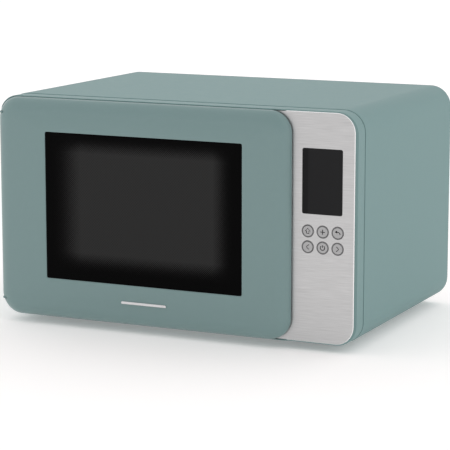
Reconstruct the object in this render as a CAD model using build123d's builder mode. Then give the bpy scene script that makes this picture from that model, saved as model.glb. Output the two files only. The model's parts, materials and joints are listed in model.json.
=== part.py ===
"""Countertop microwave oven with a side-hinged door, in millimetres.

The origin is on the surface the oven stands on, under the middle of its bounding box.
X runs to the right as the user sees it, Y runs from the door to the back, Z is up.
"""

import os
from math import cos, radians, sin

from build123d import *

os.makedirs("parts", exist_ok=True)

# ---------------------------------------------------------------- driving dimensions
WIDTH = 500.0             # casing, side to side
HEIGHT = 298.0            # floor to the top of the casing
DEPTH = 356.0             # front of the door's trim bar to the rim at the back
FOOT = 9.0                # gap under the casing
CORNER = 28.0             # casing corner radius, seen from the front
INSET = 2.0               # door and fascia stand this far below the top and above the bottom of the casing
DOOR_INSET = 3.0          # the door from the casing's left side
FASCIA_INSET = 4.4        # the fascia from the casing's right side
SHEET = 1.0               # casing and cavity sheet
GAP = 0.3                 # usual gap between neighbouring pieces
SEAM_GAP = 0.6            # visible joint between front frame and outer cover

BAR_PROUD = 0.8           # trim bar ahead of the door's painted front
DOOR_FRONT = -DEPTH / 2 + BAR_PROUD
REAR = DEPTH / 2
DOOR_PROUD = 16.0         # door front ahead of the fascia
FASCIA_FRONT = DOOR_FRONT + DOOR_PROUD
FASCIA_THICK = 1.2
FASCIA_CORNER = 24.0
FRAME_FRONT = FASCIA_FRONT + FASCIA_THICK
FRAME_WALL = 2.5
FRAME_INSIDE = FRAME_FRONT + FRAME_WALL
SEAM = FASCIA_FRONT + 23.0          # joint between front frame and outer cover
LIP_DEEP = 10.0                     # how far the frame's lip slides into the cover

MIDDLE_Z = (HEIGHT + FOOT) / 2      # centre of the casing's front outline
CASE_HIGH = HEIGHT - FOOT
FRONT_HIGH = CASE_HIGH - 2 * INSET

DOOR_BACK = FASCIA_FRONT - 1.8
LIP_FRONT = DOOR_BACK + 0.7         # raised lip of the front frame, close behind the door
LIP_SLOPES = ((285.0, 277.0), (22.0, 30.0))   # heights where the lip starts and ends its slope
LIP_END = (150.0, 158.0)            # the same to the right of the door
FRAME_STEP = 0.6                    # front frame stands this far inside the cover's outline
FRONT_ROUND = 0.8                   # softened front edge of the frame
EDGE_ROUND = 0.7                    # softened edges along the casing's seams
DOOR_LEFT = -WIDTH / 2 + DOOR_INSET
DOOR_RIGHT = 164.3
DOOR_WIDE = DOOR_RIGHT - DOOR_LEFT
DOOR_CENTRE = ((DOOR_LEFT + DOOR_RIGHT) / 2, MIDDLE_Z)
DOOR_CORNER = 28.0
DOOR_ROUNDING = 12.5
DOOR_SKIN = 4.0                     # front wall of the door shell
SKIN_BACK = DOOR_FRONT + DOOR_SKIN

WINDOW = (277.3, 190.2)
WINDOW_CENTRE = (-35.3, 159.0)
WINDOW_CORNER = 2.2

SPLIT_X = 138.0                     # front frame left of it, control housing right of it
FASCIA_RIGHT = WIDTH / 2 - FASCIA_INSET
DISPLAY = (52.7, 80.6)
DISPLAY_CENTRE = (203.4, 211.3)
BUTTON_PITCH = 19.6
BUTTON_CENTRE = (204.4, 139.9)
CAP_RADIUS = 6.55
COLLAR_RADIUS = 8.05
BUTTON_TRAVEL = 1.2
CAP_PROUD = 0.5
BOARD_FRONT = FRAME_FRONT + 12.0
SWITCH_HIGH = 3.5

CAVITY = (306.0, 300.0, 216.0)      # inside width, depth, height
CAVITY_CENTRE = (-37.0, 153.0)      # x, z
CAVITY_CORNER = 10.0
RECESS = (324.6, 236.6)             # recess in the front frame that takes the back of the door
FLANGE = (332.0, 244.0)             # flat face round the cavity mouth
FLANGE_CENTRE = (-39.0, 153.0)
FLANGE_FRONT = FRAME_FRONT + 12.3
CAVITY_LEFT = CAVITY_CENTRE[0] - CAVITY[0] / 2
CAVITY_RIGHT = CAVITY_CENTRE[0] + CAVITY[0] / 2
CAVITY_FLOOR = CAVITY_CENTRE[1] - CAVITY[2] / 2
CAVITY_TOP = CAVITY_CENTRE[1] + CAVITY[2] / 2
CAVITY_BACK = FLANGE_FRONT + CAVITY[1]
TABLE_Y = FLANGE_FRONT + CAVITY[1] / 2
TABLE = (CAVITY_CENTRE[0], TABLE_Y)

HINGE_X = DOOR_LEFT + 6.0
HINGE_Y = DOOR_BACK - 5.5
PIN_RADIUS = 2.2
PIN_GAP = 0.05
PIN_LONG = 8.0
PAD_RADIUS = 4.0                    # rounded end of each hinge arm
ARM_THICK = 2.0
HINGES = {"hinge_top": (276.0, -1), "hinge_bottom": (31.0, 1)}   # arm's middle z, way its pin points

HOOK_X = 132.2
HOOK_THICK = 4.0
HOOK_HIGH = 10.0
HOOK_END = FLANGE_FRONT + 3.0
HOOKS_Z = (84.0, 226.0)             # underside of each latch hook
LATCH_LIFT = 4.0

WHEEL_RADIUS = 7.5
WHEEL_CIRCLE = 96.0
RUN_GAP = 0.3                       # between the wheels and what they roll on
WHEEL_Z = CAVITY_FLOOR + RUN_GAP + WHEEL_RADIUS
TRAY_RADIUS = 127.5
TRAY_LOW = WHEEL_Z + WHEEL_RADIUS + RUN_GAP
TRAY_THICK = 5.0

FAN_CENTRE = (184.0, 150.0)         # x, z
FAN_RADIUS = 51.0
FAN_FRONT = 140.0
BAY_LEFT = CAVITY_RIGHT + SHEET
MAGNETRON = (-10.0, 200.0)          # y, z of its axis


# ---------------------------------------------------------------- helpers
def front_plane(y):
    """Plane of constant y, drawn in x and z, whose normal points to the front."""
    return Plane.XZ.offset(-y)


def side_plane(x):
    """Plane of constant x, drawn in y and z, whose normal points to the right."""
    return Plane.YZ.offset(x)


def slab(front, back, size, centre, corner=0.0, mode=Mode.ADD):
    """An upright plate between two depths, made in the part being built."""
    with BuildSketch(front_plane(back)) as outline:
        with Locations(centre):
            if corner:
                RectangleRounded(*size, corner)
            else:
                Rectangle(*size)
    extrude(outline.sketch, amount=back - front, mode=mode)


def brick(low, high, mode=Mode.ADD):
    """A box between two opposite corners, made in the part being built."""
    size = [b - a for a, b in zip(low, high)]
    middle = [(a + b) / 2 for a, b in zip(low, high)]
    with Locations(tuple(middle)):
        Box(*size, mode=mode)


def rods(plane, centres, radius, length, mode=Mode.ADD):
    """Round bars or holes that start on a plane and run along its normal."""
    with BuildSketch(plane) as ends:
        with Locations(*centres):
            Circle(radius)
    extrude(ends.sketch, amount=length, mode=mode)


def slots(plane, centre, pitch, count, size, length, mode=Mode.ADD):
    """A ladder of round-ended slots, stacked along the plane's second direction."""
    with BuildSketch(plane) as openings:
        with Locations(centre):
            with GridLocations(0, pitch, 1, count):
                SlotOverall(*size)
    extrude(openings.sketch, amount=length, mode=mode)


def casing(front, back, inset=0.0, mode=Mode.ADD):
    """A solid with the casing's rounded outline, between two depths."""
    size = (WIDTH - 2 * inset, CASE_HIGH - 2 * inset)
    slab(front, back, size, (0, MIDDLE_Z), CORNER - inset, mode)


def tray(front):
    """Front tray of the casing: front wall, rim, and the lip that slides into the outer cover."""
    casing(front, SEAM, FRAME_STEP)
    fillet(faces().sort_by(Axis.Y)[0].edges(), FRONT_ROUND)
    fillet(faces().sort_by(Axis.Y)[-1].edges(), EDGE_ROUND)
    casing(SEAM, SEAM + LIP_DEEP, SHEET + 0.4)
    casing(FRAME_INSIDE, SEAM - 4, FRAME_WALL, Mode.SUBTRACT)
    casing(SEAM - 4, SEAM + LIP_DEEP, SHEET + 1.9, Mode.SUBTRACT)


def write(made, name):
    made.part.label = name
    export_step(made.part, f"parts/{name}.step")


# ---------------------------------------------------------------- front of the casing
with BuildPart() as front_frame:
    tray(LIP_FRONT)
    with BuildSketch(side_plane(-WIDTH)):
        with BuildLine():
            Polyline(
                (LIP_FRONT - 5, LIP_SLOPES[0][0]), (LIP_FRONT, LIP_SLOPES[0][0]), (FRAME_FRONT, LIP_SLOPES[0][1]),
                (FRAME_FRONT, LIP_SLOPES[1][1]), (LIP_FRONT, LIP_SLOPES[1][0]),
                (LIP_FRONT - 5, LIP_SLOPES[1][0]), close=True,
            )
        make_face()
    extrude(amount=2 * WIDTH, mode=Mode.SUBTRACT)
    slab(FRAME_INSIDE, FLANGE_FRONT - GAP, (RECESS[0] + 5, RECESS[1] + 5), FLANGE_CENTRE, 6.5)
    slab(LIP_FRONT - 1, FLANGE_FRONT, RECESS, FLANGE_CENTRE, 4.0, Mode.SUBTRACT)
    brick((SPLIT_X - 0.2, -300, 0), (300, 300, 400), Mode.SUBTRACT)
    for hook_z in HOOKS_Z:
        brick(
            (HOOK_X - 3.4, FRAME_FRONT - 1, hook_z - 1.5),
            (HOOK_X + 3.4, FRAME_INSIDE + 1, hook_z + HOOK_HIGH + LATCH_LIFT + 1.5),
            Mode.SUBTRACT,
        )
    for arm_z, way in HINGES.values():
        brick(
            (HINGE_X - PAD_RADIUS - 0.4, FRAME_FRONT - 1, arm_z - 1.4),
            (HINGE_X + PAD_RADIUS + 0.4, FRAME_INSIDE + 1, arm_z + 1.4),
            Mode.SUBTRACT,
        )
write(front_frame, "front_frame")

BUTTONS = {
    "home": (-1, 1), "plus": (0, 1), "back": (1, 1),
    "previous": (-1, -1), "power": (0, -1), "next": (1, -1),
}


def button_centre(column, row):
    return (BUTTON_CENTRE[0] + column * BUTTON_PITCH, BUTTON_CENTRE[1] + row * BUTTON_PITCH / 2)


BUTTON_CENTRES = [button_centre(*at) for at in BUTTONS.values()]

with BuildPart() as lip_ends:
    for low in (FOOT + FRAME_STEP, HEIGHT - INSET + GAP):
        with BuildSketch(Plane.XY.offset(low)):
            with BuildLine():
                Polyline(
                    (SPLIT_X, LIP_FRONT), (LIP_END[0], LIP_FRONT), (LIP_END[1], FRAME_FRONT),
                    (LIP_END[1], FRAME_FRONT + 1.5), (SPLIT_X, FRAME_FRONT + 1.5), close=True,
                )
            make_face()
        extrude(amount=INSET - GAP - FRAME_STEP)
    front_edges = edges().filter_by(lambda edge: edge.center().Y < FRAME_FRONT)
    level_edges = front_edges.filter_by(Plane.XY).sort_by(Axis.Z)
    fillet(level_edges[:2] + level_edges[-2:], FRONT_ROUND)

with BuildPart() as control_housing:
    tray(FRAME_FRONT)
    brick((-300, -300, 0), (SPLIT_X, 300, 400), Mode.SUBTRACT)
    add(lip_ends.part)
    display_hole = (DISPLAY[0] - 4, DISPLAY[1] - 4)
    slab(FRAME_FRONT - 1, FRAME_INSIDE + 1, display_hole, DISPLAY_CENTRE, 1.5, Mode.SUBTRACT)
    rods(front_plane(FRAME_INSIDE + 1), BUTTON_CENTRES, COLLAR_RADIUS + 0.2, FRAME_WALL + 2, Mode.SUBTRACT)
write(control_housing, "control_housing")

# ---------------------------------------------------------------- cover, base and back
REAR_RING = 12.0                    # width of the cover's turned-in edge at the back
PANEL_FRONT = REAR - 5.5
PANEL_BACK = PANEL_FRONT + SHEET
SCREW_IN = SHEET + REAR_RING / 2
SCREW_X = WIDTH / 2 - SCREW_IN
SCREW_TOP = HEIGHT - SCREW_IN
REAR_SCREWS = [
    (-SCREW_X, 80.0), (-SCREW_X, 225.0), (SCREW_X, 80.0), (SCREW_X, 225.0),
    (-120.0, SCREW_TOP), (120.0, SCREW_TOP),
]
UNDERSIDE_OPENING = 400.0

with BuildPart() as outer_cover:
    casing(SEAM + SEAM_GAP, REAR)
    fillet(faces().sort_by(Axis.Y)[0].edges() + faces().sort_by(Axis.Y)[-1].edges(), EDGE_ROUND)
    casing(SEAM, PANEL_FRONT - 0.2 - SHEET, SHEET, Mode.SUBTRACT)
    casing(PANEL_FRONT - 0.2 - SHEET, REAR, SHEET + REAR_RING, Mode.SUBTRACT)
    casing(PANEL_FRONT - 0.2, REAR, SHEET, Mode.SUBTRACT)
    brick(
        (-UNDERSIDE_OPENING / 2, -300, 0),
        (UNDERSIDE_OPENING / 2, 300, FOOT + SHEET + REAR_RING + 1),
        Mode.SUBTRACT,
    )
    rods(front_plane(PANEL_FRONT), REAR_SCREWS, 2.3, 4, Mode.SUBTRACT)
write(outer_cover, "outer_cover")

BASE_LOW = FOOT + SHEET + 0.2
BASE_FRONT = SEAM + LIP_DEEP + 2
BASE_BACK = PANEL_FRONT - SHEET - 1
VENT_UNDER_FAN = (164.0, 60.0)
VENT_UNDER_BOARD = (150.0, -100.0)
FEET = [(x, y) for x in (-180.0, 180.0) for y in (-95.0, 135.0)]
with BuildPart() as base_plate:
    with BuildSketch(Plane.XY.offset(BASE_LOW)):
        with Locations((0, (BASE_FRONT + BASE_BACK) / 2)):
            Rectangle(442, BASE_BACK - BASE_FRONT)
        with Locations(*FEET):
            Circle(4.4, mode=Mode.SUBTRACT)
    extrude(amount=SHEET)
    slots(Plane.XY.offset(BASE_LOW), VENT_UNDER_FAN, 9, 7, (44, 3.2), SHEET, Mode.SUBTRACT)
    slots(Plane.XY.offset(BASE_LOW), VENT_UNDER_BOARD, 9, 2, (44, 3.2), SHEET, Mode.SUBTRACT)
write(base_plate, "base_plate")

with BuildPart() as feet:
    for x, y in FEET:
        with BuildSketch(front_plane(y)):
            with BuildLine():
                Polyline(
                    (x, 0), (x + 10, 0), (x + 12.5, BASE_LOW - 0.1), (x + 4.2, BASE_LOW - 0.1),
                    (x + 4.2, BASE_LOW + 3), (x, BASE_LOW + 3), close=True,
                )
            make_face()
        revolve(axis=Axis((x, y, 0), (0, 0, 1)))
    fillet(faces().group_by(Axis.Z)[0].edges(), 1.2)
write(feet, "feet")

GLAND = (212.0, 44.0)
with BuildPart() as rear_panel:
    casing(PANEL_FRONT, PANEL_BACK, SHEET + GAP)
    rods(front_plane(PANEL_BACK), REAR_SCREWS, 2.2, SHEET, Mode.SUBTRACT)
    rods(front_plane(PANEL_BACK), [GLAND], 9.0, SHEET, Mode.SUBTRACT)
    slots(front_plane(PANEL_BACK), FAN_CENTRE, 8, 11, (86, 3.4), SHEET, Mode.SUBTRACT)
    slots(front_plane(PANEL_BACK), (-150, 240), 8, 7, (90, 3.4), SHEET, Mode.SUBTRACT)
    slots(front_plane(PANEL_BACK), (-150, 66), 8, 5, (90, 3.4), SHEET, Mode.SUBTRACT)
write(rear_panel, "rear_panel")

with BuildPart() as rear_screws:
    rods(front_plane(PANEL_BACK + 0.1), REAR_SCREWS, 2.0, 9)
    rods(front_plane(PANEL_BACK + 2.3), REAR_SCREWS, 4.0, 2.2)
    fillet(faces().group_by(Axis.Y)[-1].edges(), 0.8)
    with BuildSketch(front_plane(PANEL_BACK + 2.4)):
        with Locations(*REAR_SCREWS):
            Rectangle(4.6, 1.0)
            Rectangle(1.0, 4.6)
    extrude(amount=1.3, mode=Mode.SUBTRACT)
write(rear_screws, "rear_screws")

with BuildPart() as cord_gland:
    rods(front_plane(PANEL_BACK + 3.4), [GLAND], 12.0, 3.3)
    rods(front_plane(PANEL_BACK + 0.2), [GLAND], 8.7, SHEET + 0.4)
    rods(front_plane(PANEL_FRONT - 0.2), [GLAND], 11.0, 3.0)
    fillet(faces().sort_by(Axis.Y)[-1].edges(), 1.2)
    rods(front_plane(REAR), [GLAND], 3.7, 20, Mode.SUBTRACT)
write(cord_gland, "cord_gland")

# ---------------------------------------------------------------- control panel
with BuildPart() as control_fascia:
    fascia_left = SPLIT_X + 0.2
    full_size = (FASCIA_RIGHT - SPLIT_X + 60, FRONT_HIGH)
    slab(FASCIA_FRONT, FRAME_FRONT, full_size, (FASCIA_RIGHT - full_size[0] / 2, MIDDLE_Z), FASCIA_CORNER)
    slab(FASCIA_FRONT, FRAME_FRONT, (100, 400), (fascia_left - 50, MIDDLE_Z), 0, Mode.SUBTRACT)
    display_hole = (DISPLAY[0] + 0.3, DISPLAY[1] + 0.3)
    slab(FASCIA_FRONT, FRAME_FRONT, display_hole, DISPLAY_CENTRE, 2.6, Mode.SUBTRACT)
    rods(front_plane(FRAME_FRONT), BUTTON_CENTRES, COLLAR_RADIUS + 0.1, 3, Mode.SUBTRACT)
    rim = faces().sort_by(Axis.Y)[0].outer_wire().edges()
    chamfer(rim.filter_by(lambda edge: edge.center().X > fascia_left + 1), 0.7)
write(control_fascia, "control_fascia")

with BuildPart() as display_glass:
    slab(FASCIA_FRONT + 0.15, FRAME_FRONT - 0.05, DISPLAY, DISPLAY_CENTRE, 2.5)
write(display_glass, "display_glass")

with BuildPart() as display_module:
    slab(FRAME_FRONT + 0.1, BOARD_FRONT - 4, (DISPLAY[0] - 6, DISPLAY[1] - 6), DISPLAY_CENTRE, 1.0)
    slab(FRAME_INSIDE + 0.5, BOARD_FRONT - 4, (DISPLAY[0] + 4, DISPLAY[1] - 6), DISPLAY_CENTRE, 1.0)
write(display_module, "display_module")

with BuildPart() as button_collars:
    collar_back = FRAME_INSIDE + 1.5
    rods(front_plane(collar_back), BUTTON_CENTRES, COLLAR_RADIUS, collar_back - FASCIA_FRONT + 0.1)
    rods(front_plane(collar_back), BUTTON_CENTRES, COLLAR_RADIUS + 1.3, 1.3)
    rods(front_plane(collar_back), BUTTON_CENTRES, CAP_RADIUS + GAP, 10, Mode.SUBTRACT)
write(button_collars, "button_collars")

for button, at in BUTTONS.items():
    centre = [button_centre(*at)]
    with BuildPart() as cap:
        cap_back = FRAME_INSIDE + 3.0
        rods(front_plane(cap_back), centre, CAP_RADIUS, cap_back - FASCIA_FRONT + CAP_PROUD)
        fillet(faces().sort_by(Axis.Y)[0].edges(), 0.45)
        rods(front_plane(cap_back), centre, CAP_RADIUS + 1.0, 1.0)
        stem_back = BOARD_FRONT - SWITCH_HIGH - 0.1 - BUTTON_TRAVEL
        rods(front_plane(stem_back), centre, 2.0, stem_back - cap_back + 1)
    write(cap, f"button_{button}")

with BuildPart() as control_board:
    slab(BOARD_FRONT, BOARD_FRONT + 1.6, (92, 250), (193.0, 160.0), 2.0)
    brick((170, BOARD_FRONT + 1.6, 56), (188, BOARD_FRONT + 10, 98))
    rods(front_plane(BOARD_FRONT + 10), [(213, 78), (213, 54)], 7, 8.4)
write(control_board, "control_board")

with BuildPart() as tact_switches:
    with BuildSketch(front_plane(BOARD_FRONT - 0.05)):
        with Locations(*BUTTON_CENTRES):
            Rectangle(6, 6)
    extrude(amount=SWITCH_HIGH - 0.8)
    rods(front_plane(BOARD_FRONT - SWITCH_HIGH + 0.75), BUTTON_CENTRES, 1.7, 0.8)
write(tact_switches, "tact_switches")

# ---------------------------------------------------------------- oven cavity
FEED = (76.0, 36.0)                 # microwave feed opening in the right wall, y and z size
FEED_CENTRE = (MAGNETRON[0] - 30, MAGNETRON[1] - 8)
VENT_RIGHT = (-95.0, 205.0)         # y, z of the inlet holes by the lamp
VENT_LEFT = (90.0, 215.0)
LAMP = (95.0, 222.0)
DRIVE_HOLE = 6.0

with BuildPart() as cavity_box:
    outside = (CAVITY[0] + 2 * SHEET, CAVITY[2] + 2 * SHEET)
    slab(FLANGE_FRONT, CAVITY_BACK + SHEET, outside, CAVITY_CENTRE, CAVITY_CORNER + SHEET)
    slab(FLANGE_FRONT, FLANGE_FRONT + SHEET, FLANGE, FLANGE_CENTRE, 8.0)
    slab(FLANGE_FRONT, CAVITY_BACK, (CAVITY[0], CAVITY[2]), CAVITY_CENTRE, CAVITY_CORNER, Mode.SUBTRACT)
    rods(Plane.XY.offset(CAVITY_FLOOR - 5), [TABLE], DRIVE_HOLE, 10, Mode.SUBTRACT)
    with BuildSketch(side_plane(CAVITY_RIGHT - 1)):
        with Locations(FEED_CENTRE):
            RectangleRounded(*FEED, 3)
        with Locations(VENT_RIGHT):
            with GridLocations(6, 6, 6, 8):
                Circle(1.6)
        with Locations(LAMP):
            with GridLocations(5, 5, 5, 5):
                Circle(1.5)
    extrude(amount=SHEET + 2, mode=Mode.SUBTRACT)
    with BuildSketch(side_plane(CAVITY_LEFT - SHEET - 1)):
        with Locations(VENT_LEFT):
            with GridLocations(6, 6, 10, 6):
                Circle(1.6)
    extrude(amount=SHEET + 2, mode=Mode.SUBTRACT)
write(cavity_box, "cavity_box")

with BuildPart() as feed_cover:
    with BuildSketch(side_plane(CAVITY_RIGHT - 0.7)):
        with Locations(FEED_CENTRE):
            RectangleRounded(FEED[0] + 20, FEED[1] + 20, 5)
    extrude(amount=0.6)
write(feed_cover, "feed_cover")

GUIDE_RIGHT = BAY_LEFT + 28.0
with BuildPart() as waveguide:
    guide_low = (BAY_LEFT + 0.1, FEED_CENTRE[0] - 46, MAGNETRON[1] - 40)
    guide_high = (GUIDE_RIGHT, MAGNETRON[0] + 34, MAGNETRON[1] + 34)
    brick(guide_low, guide_high)
    wall = Vector(1.2, 1.2, 1.2)
    brick(tuple(Vector(*guide_low) + wall), tuple(Vector(*guide_high) - wall), Mode.SUBTRACT)
    with BuildSketch(side_plane(BAY_LEFT)):
        with Locations(FEED_CENTRE):
            Rectangle(*FEED)
    extrude(amount=3, mode=Mode.SUBTRACT)
    rods(side_plane(GUIDE_RIGHT - 3), [MAGNETRON], 17.0, 5, Mode.SUBTRACT)
write(waveguide, "waveguide")

YOKE_LEFT = GUIDE_RIGHT + 4
YOKE_RIGHT = YOKE_LEFT + 68
YOKE = (84.0, 74.0)                 # y and z size of the magnetron's steel yoke
FIN_PITCH = 6.2
with BuildPart() as magnetron:
    yoke_low = (YOKE_LEFT, MAGNETRON[0] - YOKE[0] / 2, MAGNETRON[1] - YOKE[1] / 2)
    yoke_high = (YOKE_RIGHT, MAGNETRON[0] + YOKE[0] / 2, MAGNETRON[1] + YOKE[1] / 2)
    brick(yoke_low, yoke_high)
    brick(
        (YOKE_LEFT + 2, yoke_low[1] - 1, yoke_low[2] + 2),
        (YOKE_RIGHT - 2, yoke_high[1] + 1, yoke_high[2] - 2),
        Mode.SUBTRACT,
    )
    rods(side_plane(YOKE_LEFT + 1), [MAGNETRON], 18.0, 66)
    rods(side_plane(YOKE_LEFT + 2), [MAGNETRON], 26.0, 12)
    rods(side_plane(YOKE_RIGHT - 14), [MAGNETRON], 26.0, 12)
    rods(side_plane(BAY_LEFT + 8), [MAGNETRON], 7.5, YOKE_LEFT - BAY_LEFT - 6)
    rods(side_plane(GUIDE_RIGHT + 0.2), [MAGNETRON], 20.0, YOKE_LEFT - GUIDE_RIGHT)
    brick(
        (YOKE_RIGHT - 0.5, MAGNETRON[0] - 26, MAGNETRON[1] - 24),
        (YOKE_RIGHT + 20, MAGNETRON[0] + 26, MAGNETRON[1] + 24),
    )
write(magnetron, "magnetron")

with BuildPart() as magnetron_fins:
    for fin in range(6):
        with BuildSketch(side_plane(YOKE_LEFT + 17 + fin * FIN_PITCH)):
            with Locations(MAGNETRON):
                Rectangle(YOKE[0] - 6, YOKE[1] - 6)
                Circle(18.2, mode=Mode.SUBTRACT)
        extrude(amount=0.8)
write(magnetron_fins, "magnetron_fins")

# ---------------------------------------------------------------- power parts on the base
BASE_TOP = BASE_LOW + SHEET + 0.1
CORE_LOW = (140.0, -72.0, BASE_TOP)
CORE_HIGH = (226.0, -4.0, BASE_TOP + 66)
with BuildPart() as transformer_core:
    brick(CORE_LOW, CORE_HIGH)
    for left in (CORE_LOW[0] + 14, CORE_HIGH[0] - 29):
        brick(
            (left, CORE_LOW[1] - 1, CORE_LOW[2] + 14),
            (left + 15, CORE_HIGH[1] + 1, CORE_HIGH[2] - 14),
            Mode.SUBTRACT,
        )
write(transformer_core, "transformer_core")

with BuildPart() as transformer_windings:
    core_middle = ((CORE_LOW[0] + CORE_HIGH[0]) / 2, (CORE_LOW[1] + CORE_HIGH[1]) / 2)
    for low, high in ((14.4, 32.0), (34.0, 51.6)):
        with BuildSketch(Plane.XY.offset(BASE_TOP + low)):
            with Locations(core_middle):
                RectangleRounded(57, 95, 12)
                Rectangle(28.6, 68.6, mode=Mode.SUBTRACT)
        extrude(amount=high - low)
write(transformer_windings, "transformer_windings")

CAN_MIDDLE = (206.0, BASE_TOP + 28)
with BuildPart() as capacitor:
    with BuildSketch(front_plane(118)):
        with Locations(CAN_MIDDLE):
            SlotOverall(52, 32)
    extrude(amount=88)
    rods(front_plane(30), [(CAN_MIDDLE[0] - 9, CAN_MIDDLE[1]), (CAN_MIDDLE[0] + 9, CAN_MIDDLE[1])], 2.5, 8)
write(capacitor, "capacitor")

with BuildPart() as capacitor_clip:
    with BuildSketch(front_plane(82)):
        with Locations(CAN_MIDDLE):
            SlotOverall(55.4, 35.4)
            SlotOverall(52.4, 32.4, mode=Mode.SUBTRACT)
    extrude(amount=16)
    leg_bottom = BASE_TOP
    for leg_x in (CAN_MIDDLE[0] - 8, CAN_MIDDLE[0] + 6):
        brick((leg_x, 66, leg_bottom), (leg_x + 2, 82, CAN_MIDDLE[1] - 16.5))
write(capacitor_clip, "capacitor_clip")

with BuildPart() as rectifier_diode:
    rods(front_plane(24), [(168, BASE_TOP + 12)], 3.2, 14)
    rods(front_plane(34), [(168, BASE_TOP + 12)], 0.8, 34)
write(rectifier_diode, "rectifier_diode")

FILTER_BACK = PANEL_FRONT - 6.0
FUSE_Y = FILTER_BACK - 7.0
with BuildPart() as filter_board:
    slab(FILTER_BACK - 1.6, FILTER_BACK, (66, 62), (160, 48), 1.0)
    standoffs = [(132, 22), (188, 22), (132, 74), (188, 74)]
    rods(front_plane(PANEL_FRONT - 0.1), standoffs, 3.0, 6.0)
    rods(front_plane(FILTER_BACK - 1.5), [(146, 46)], 12.0, 14)
    slab(FILTER_BACK - 15, FILTER_BACK - 1.5, (18, 30), (172, 50), 1.0)
    rods(Plane.XY.offset(34), [(186.5, FUSE_Y)], 2.6, 28)
    for clip_z in (35, 56):
        brick((183, FUSE_Y, clip_z), (190, FILTER_BACK - 1.5, clip_z + 5))
write(filter_board, "filter_board")

# ---------------------------------------------------------------- cooling fan
FAN_GAP = 2.0
with BuildPart() as fan_shroud:
    slab(FAN_FRONT, PANEL_FRONT - 3, (116, 116), FAN_CENTRE, 6.0)
    rods(front_plane(PANEL_FRONT), [FAN_CENTRE], FAN_RADIUS + FAN_GAP, 60, Mode.SUBTRACT)
    with BuildSketch(front_plane(FAN_FRONT + 3)):
        with Locations(FAN_CENTRE):
            Rectangle(112, 8)
            Rectangle(8, 112)
            Circle(20)
            Circle(4.5, mode=Mode.SUBTRACT)
    extrude(amount=3)
write(fan_shroud, "fan_shroud")

FAN_MOTOR_BACK = FAN_FRONT - 0.2
with BuildPart() as fan_motor:
    slab(FAN_MOTOR_BACK - 18, FAN_MOTOR_BACK, (58, 50), FAN_CENTRE, 4.0)
    slab(FAN_MOTOR_BACK - 26, FAN_MOTOR_BACK, (30, 22), (FAN_CENTRE[0], FAN_CENTRE[1] - 12), 3.0)
    rods(front_plane(FAN_FRONT + 20), [FAN_CENTRE], 1.6, 22)
write(fan_motor, "fan_motor")

BLADE_FRONT = FAN_FRONT + 6.0
BLADE_BACK = PANEL_FRONT - 6.0
BLADE_TURN = 34.0
BLADES = 5
with BuildPart() as fan_blades:
    rods(front_plane(BLADE_BACK), [FAN_CENTRE], 14.0, BLADE_BACK - BLADE_FRONT)
    for blade in range(BLADES):
        turn = blade * 360 / BLADES
        for depth, twist in ((BLADE_FRONT + 1, 0.0), (BLADE_BACK - 1, BLADE_TURN)):
            with BuildSketch(front_plane(depth)):
                with Locations(Location((*FAN_CENTRE, 0), (0, 0, turn + twist))):
                    with Locations((31, 0)):
                        Rectangle(39, 3.0)
        loft()
    rods(front_plane(BLADE_BACK + 1), [FAN_CENTRE], 1.65, 40, Mode.SUBTRACT)
write(fan_blades, "fan_blades")

# ---------------------------------------------------------------- lamp and cut-out
with BuildPart() as lamp_holder:
    brick((BAY_LEFT + 0.2, LAMP[0] - 17, LAMP[1] - 17), (BAY_LEFT + 30, LAMP[0] + 17, LAMP[1] + 17))
    rods(side_plane(BAY_LEFT), [LAMP], 14.5, 26, Mode.SUBTRACT)
    rods(side_plane(BAY_LEFT + 20), [LAMP], 7.2, 12, Mode.SUBTRACT)
write(lamp_holder, "lamp_holder")

BULB_RADIUS = 10.0
NECK_RADIUS = 6.8
with BuildPart() as lamp:
    bulb_x = BAY_LEFT + 14
    with BuildSketch(Plane.XY.offset(LAMP[1])):
        with BuildLine():
            CenterArc((bulb_x, LAMP[0]), BULB_RADIUS, 35, 145)
            neck_start = (bulb_x + BULB_RADIUS * cos(radians(35)), LAMP[0] + BULB_RADIUS * sin(radians(35)))
            Polyline(
                neck_start, (bulb_x + 12, LAMP[0] + NECK_RADIUS - 1.5), (bulb_x + 12, LAMP[0] + NECK_RADIUS),
                (bulb_x + 22, LAMP[0] + NECK_RADIUS), (bulb_x + 22, LAMP[0]), (bulb_x - BULB_RADIUS, LAMP[0]),
            )
        make_face()
    revolve(axis=Axis((bulb_x, LAMP[0], LAMP[1]), (1, 0, 0)))
write(lamp, "lamp")

with BuildPart() as thermal_cutout:
    rods(Plane.XY.offset(CAVITY_TOP + SHEET + 0.1), [(80, 20)], 8.0, 6)
    brick((66, 14, CAVITY_TOP + SHEET + 0.1), (94, 26, CAVITY_TOP + SHEET + 1.1))
    brick((75, 18.5, CAVITY_TOP + SHEET + 6), (76, 21.5, CAVITY_TOP + SHEET + 14))
    brick((84, 18.5, CAVITY_TOP + SHEET + 6), (85, 21.5, CAVITY_TOP + SHEET + 14))
write(thermal_cutout, "thermal_cutout")

# ---------------------------------------------------------------- turntable
MOTOR_TOP = CAVITY_FLOOR - SHEET - 0.1
SHAFT_TOP = CAVITY_FLOOR + 9.0
with BuildPart() as turntable_motor:
    rods(Plane.XY.offset(MOTOR_TOP - 16), [TABLE], 25.0, 16)
    rods(Plane.XY.offset(MOTOR_TOP - 1), [TABLE], 3.0, SHAFT_TOP - MOTOR_TOP + 1)
    brick((TABLE[0] - 34, TABLE[1] - 6, MOTOR_TOP - 1), (TABLE[0] + 34, TABLE[1] + 6, MOTOR_TOP))
write(turntable_motor, "turntable_motor")

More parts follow.
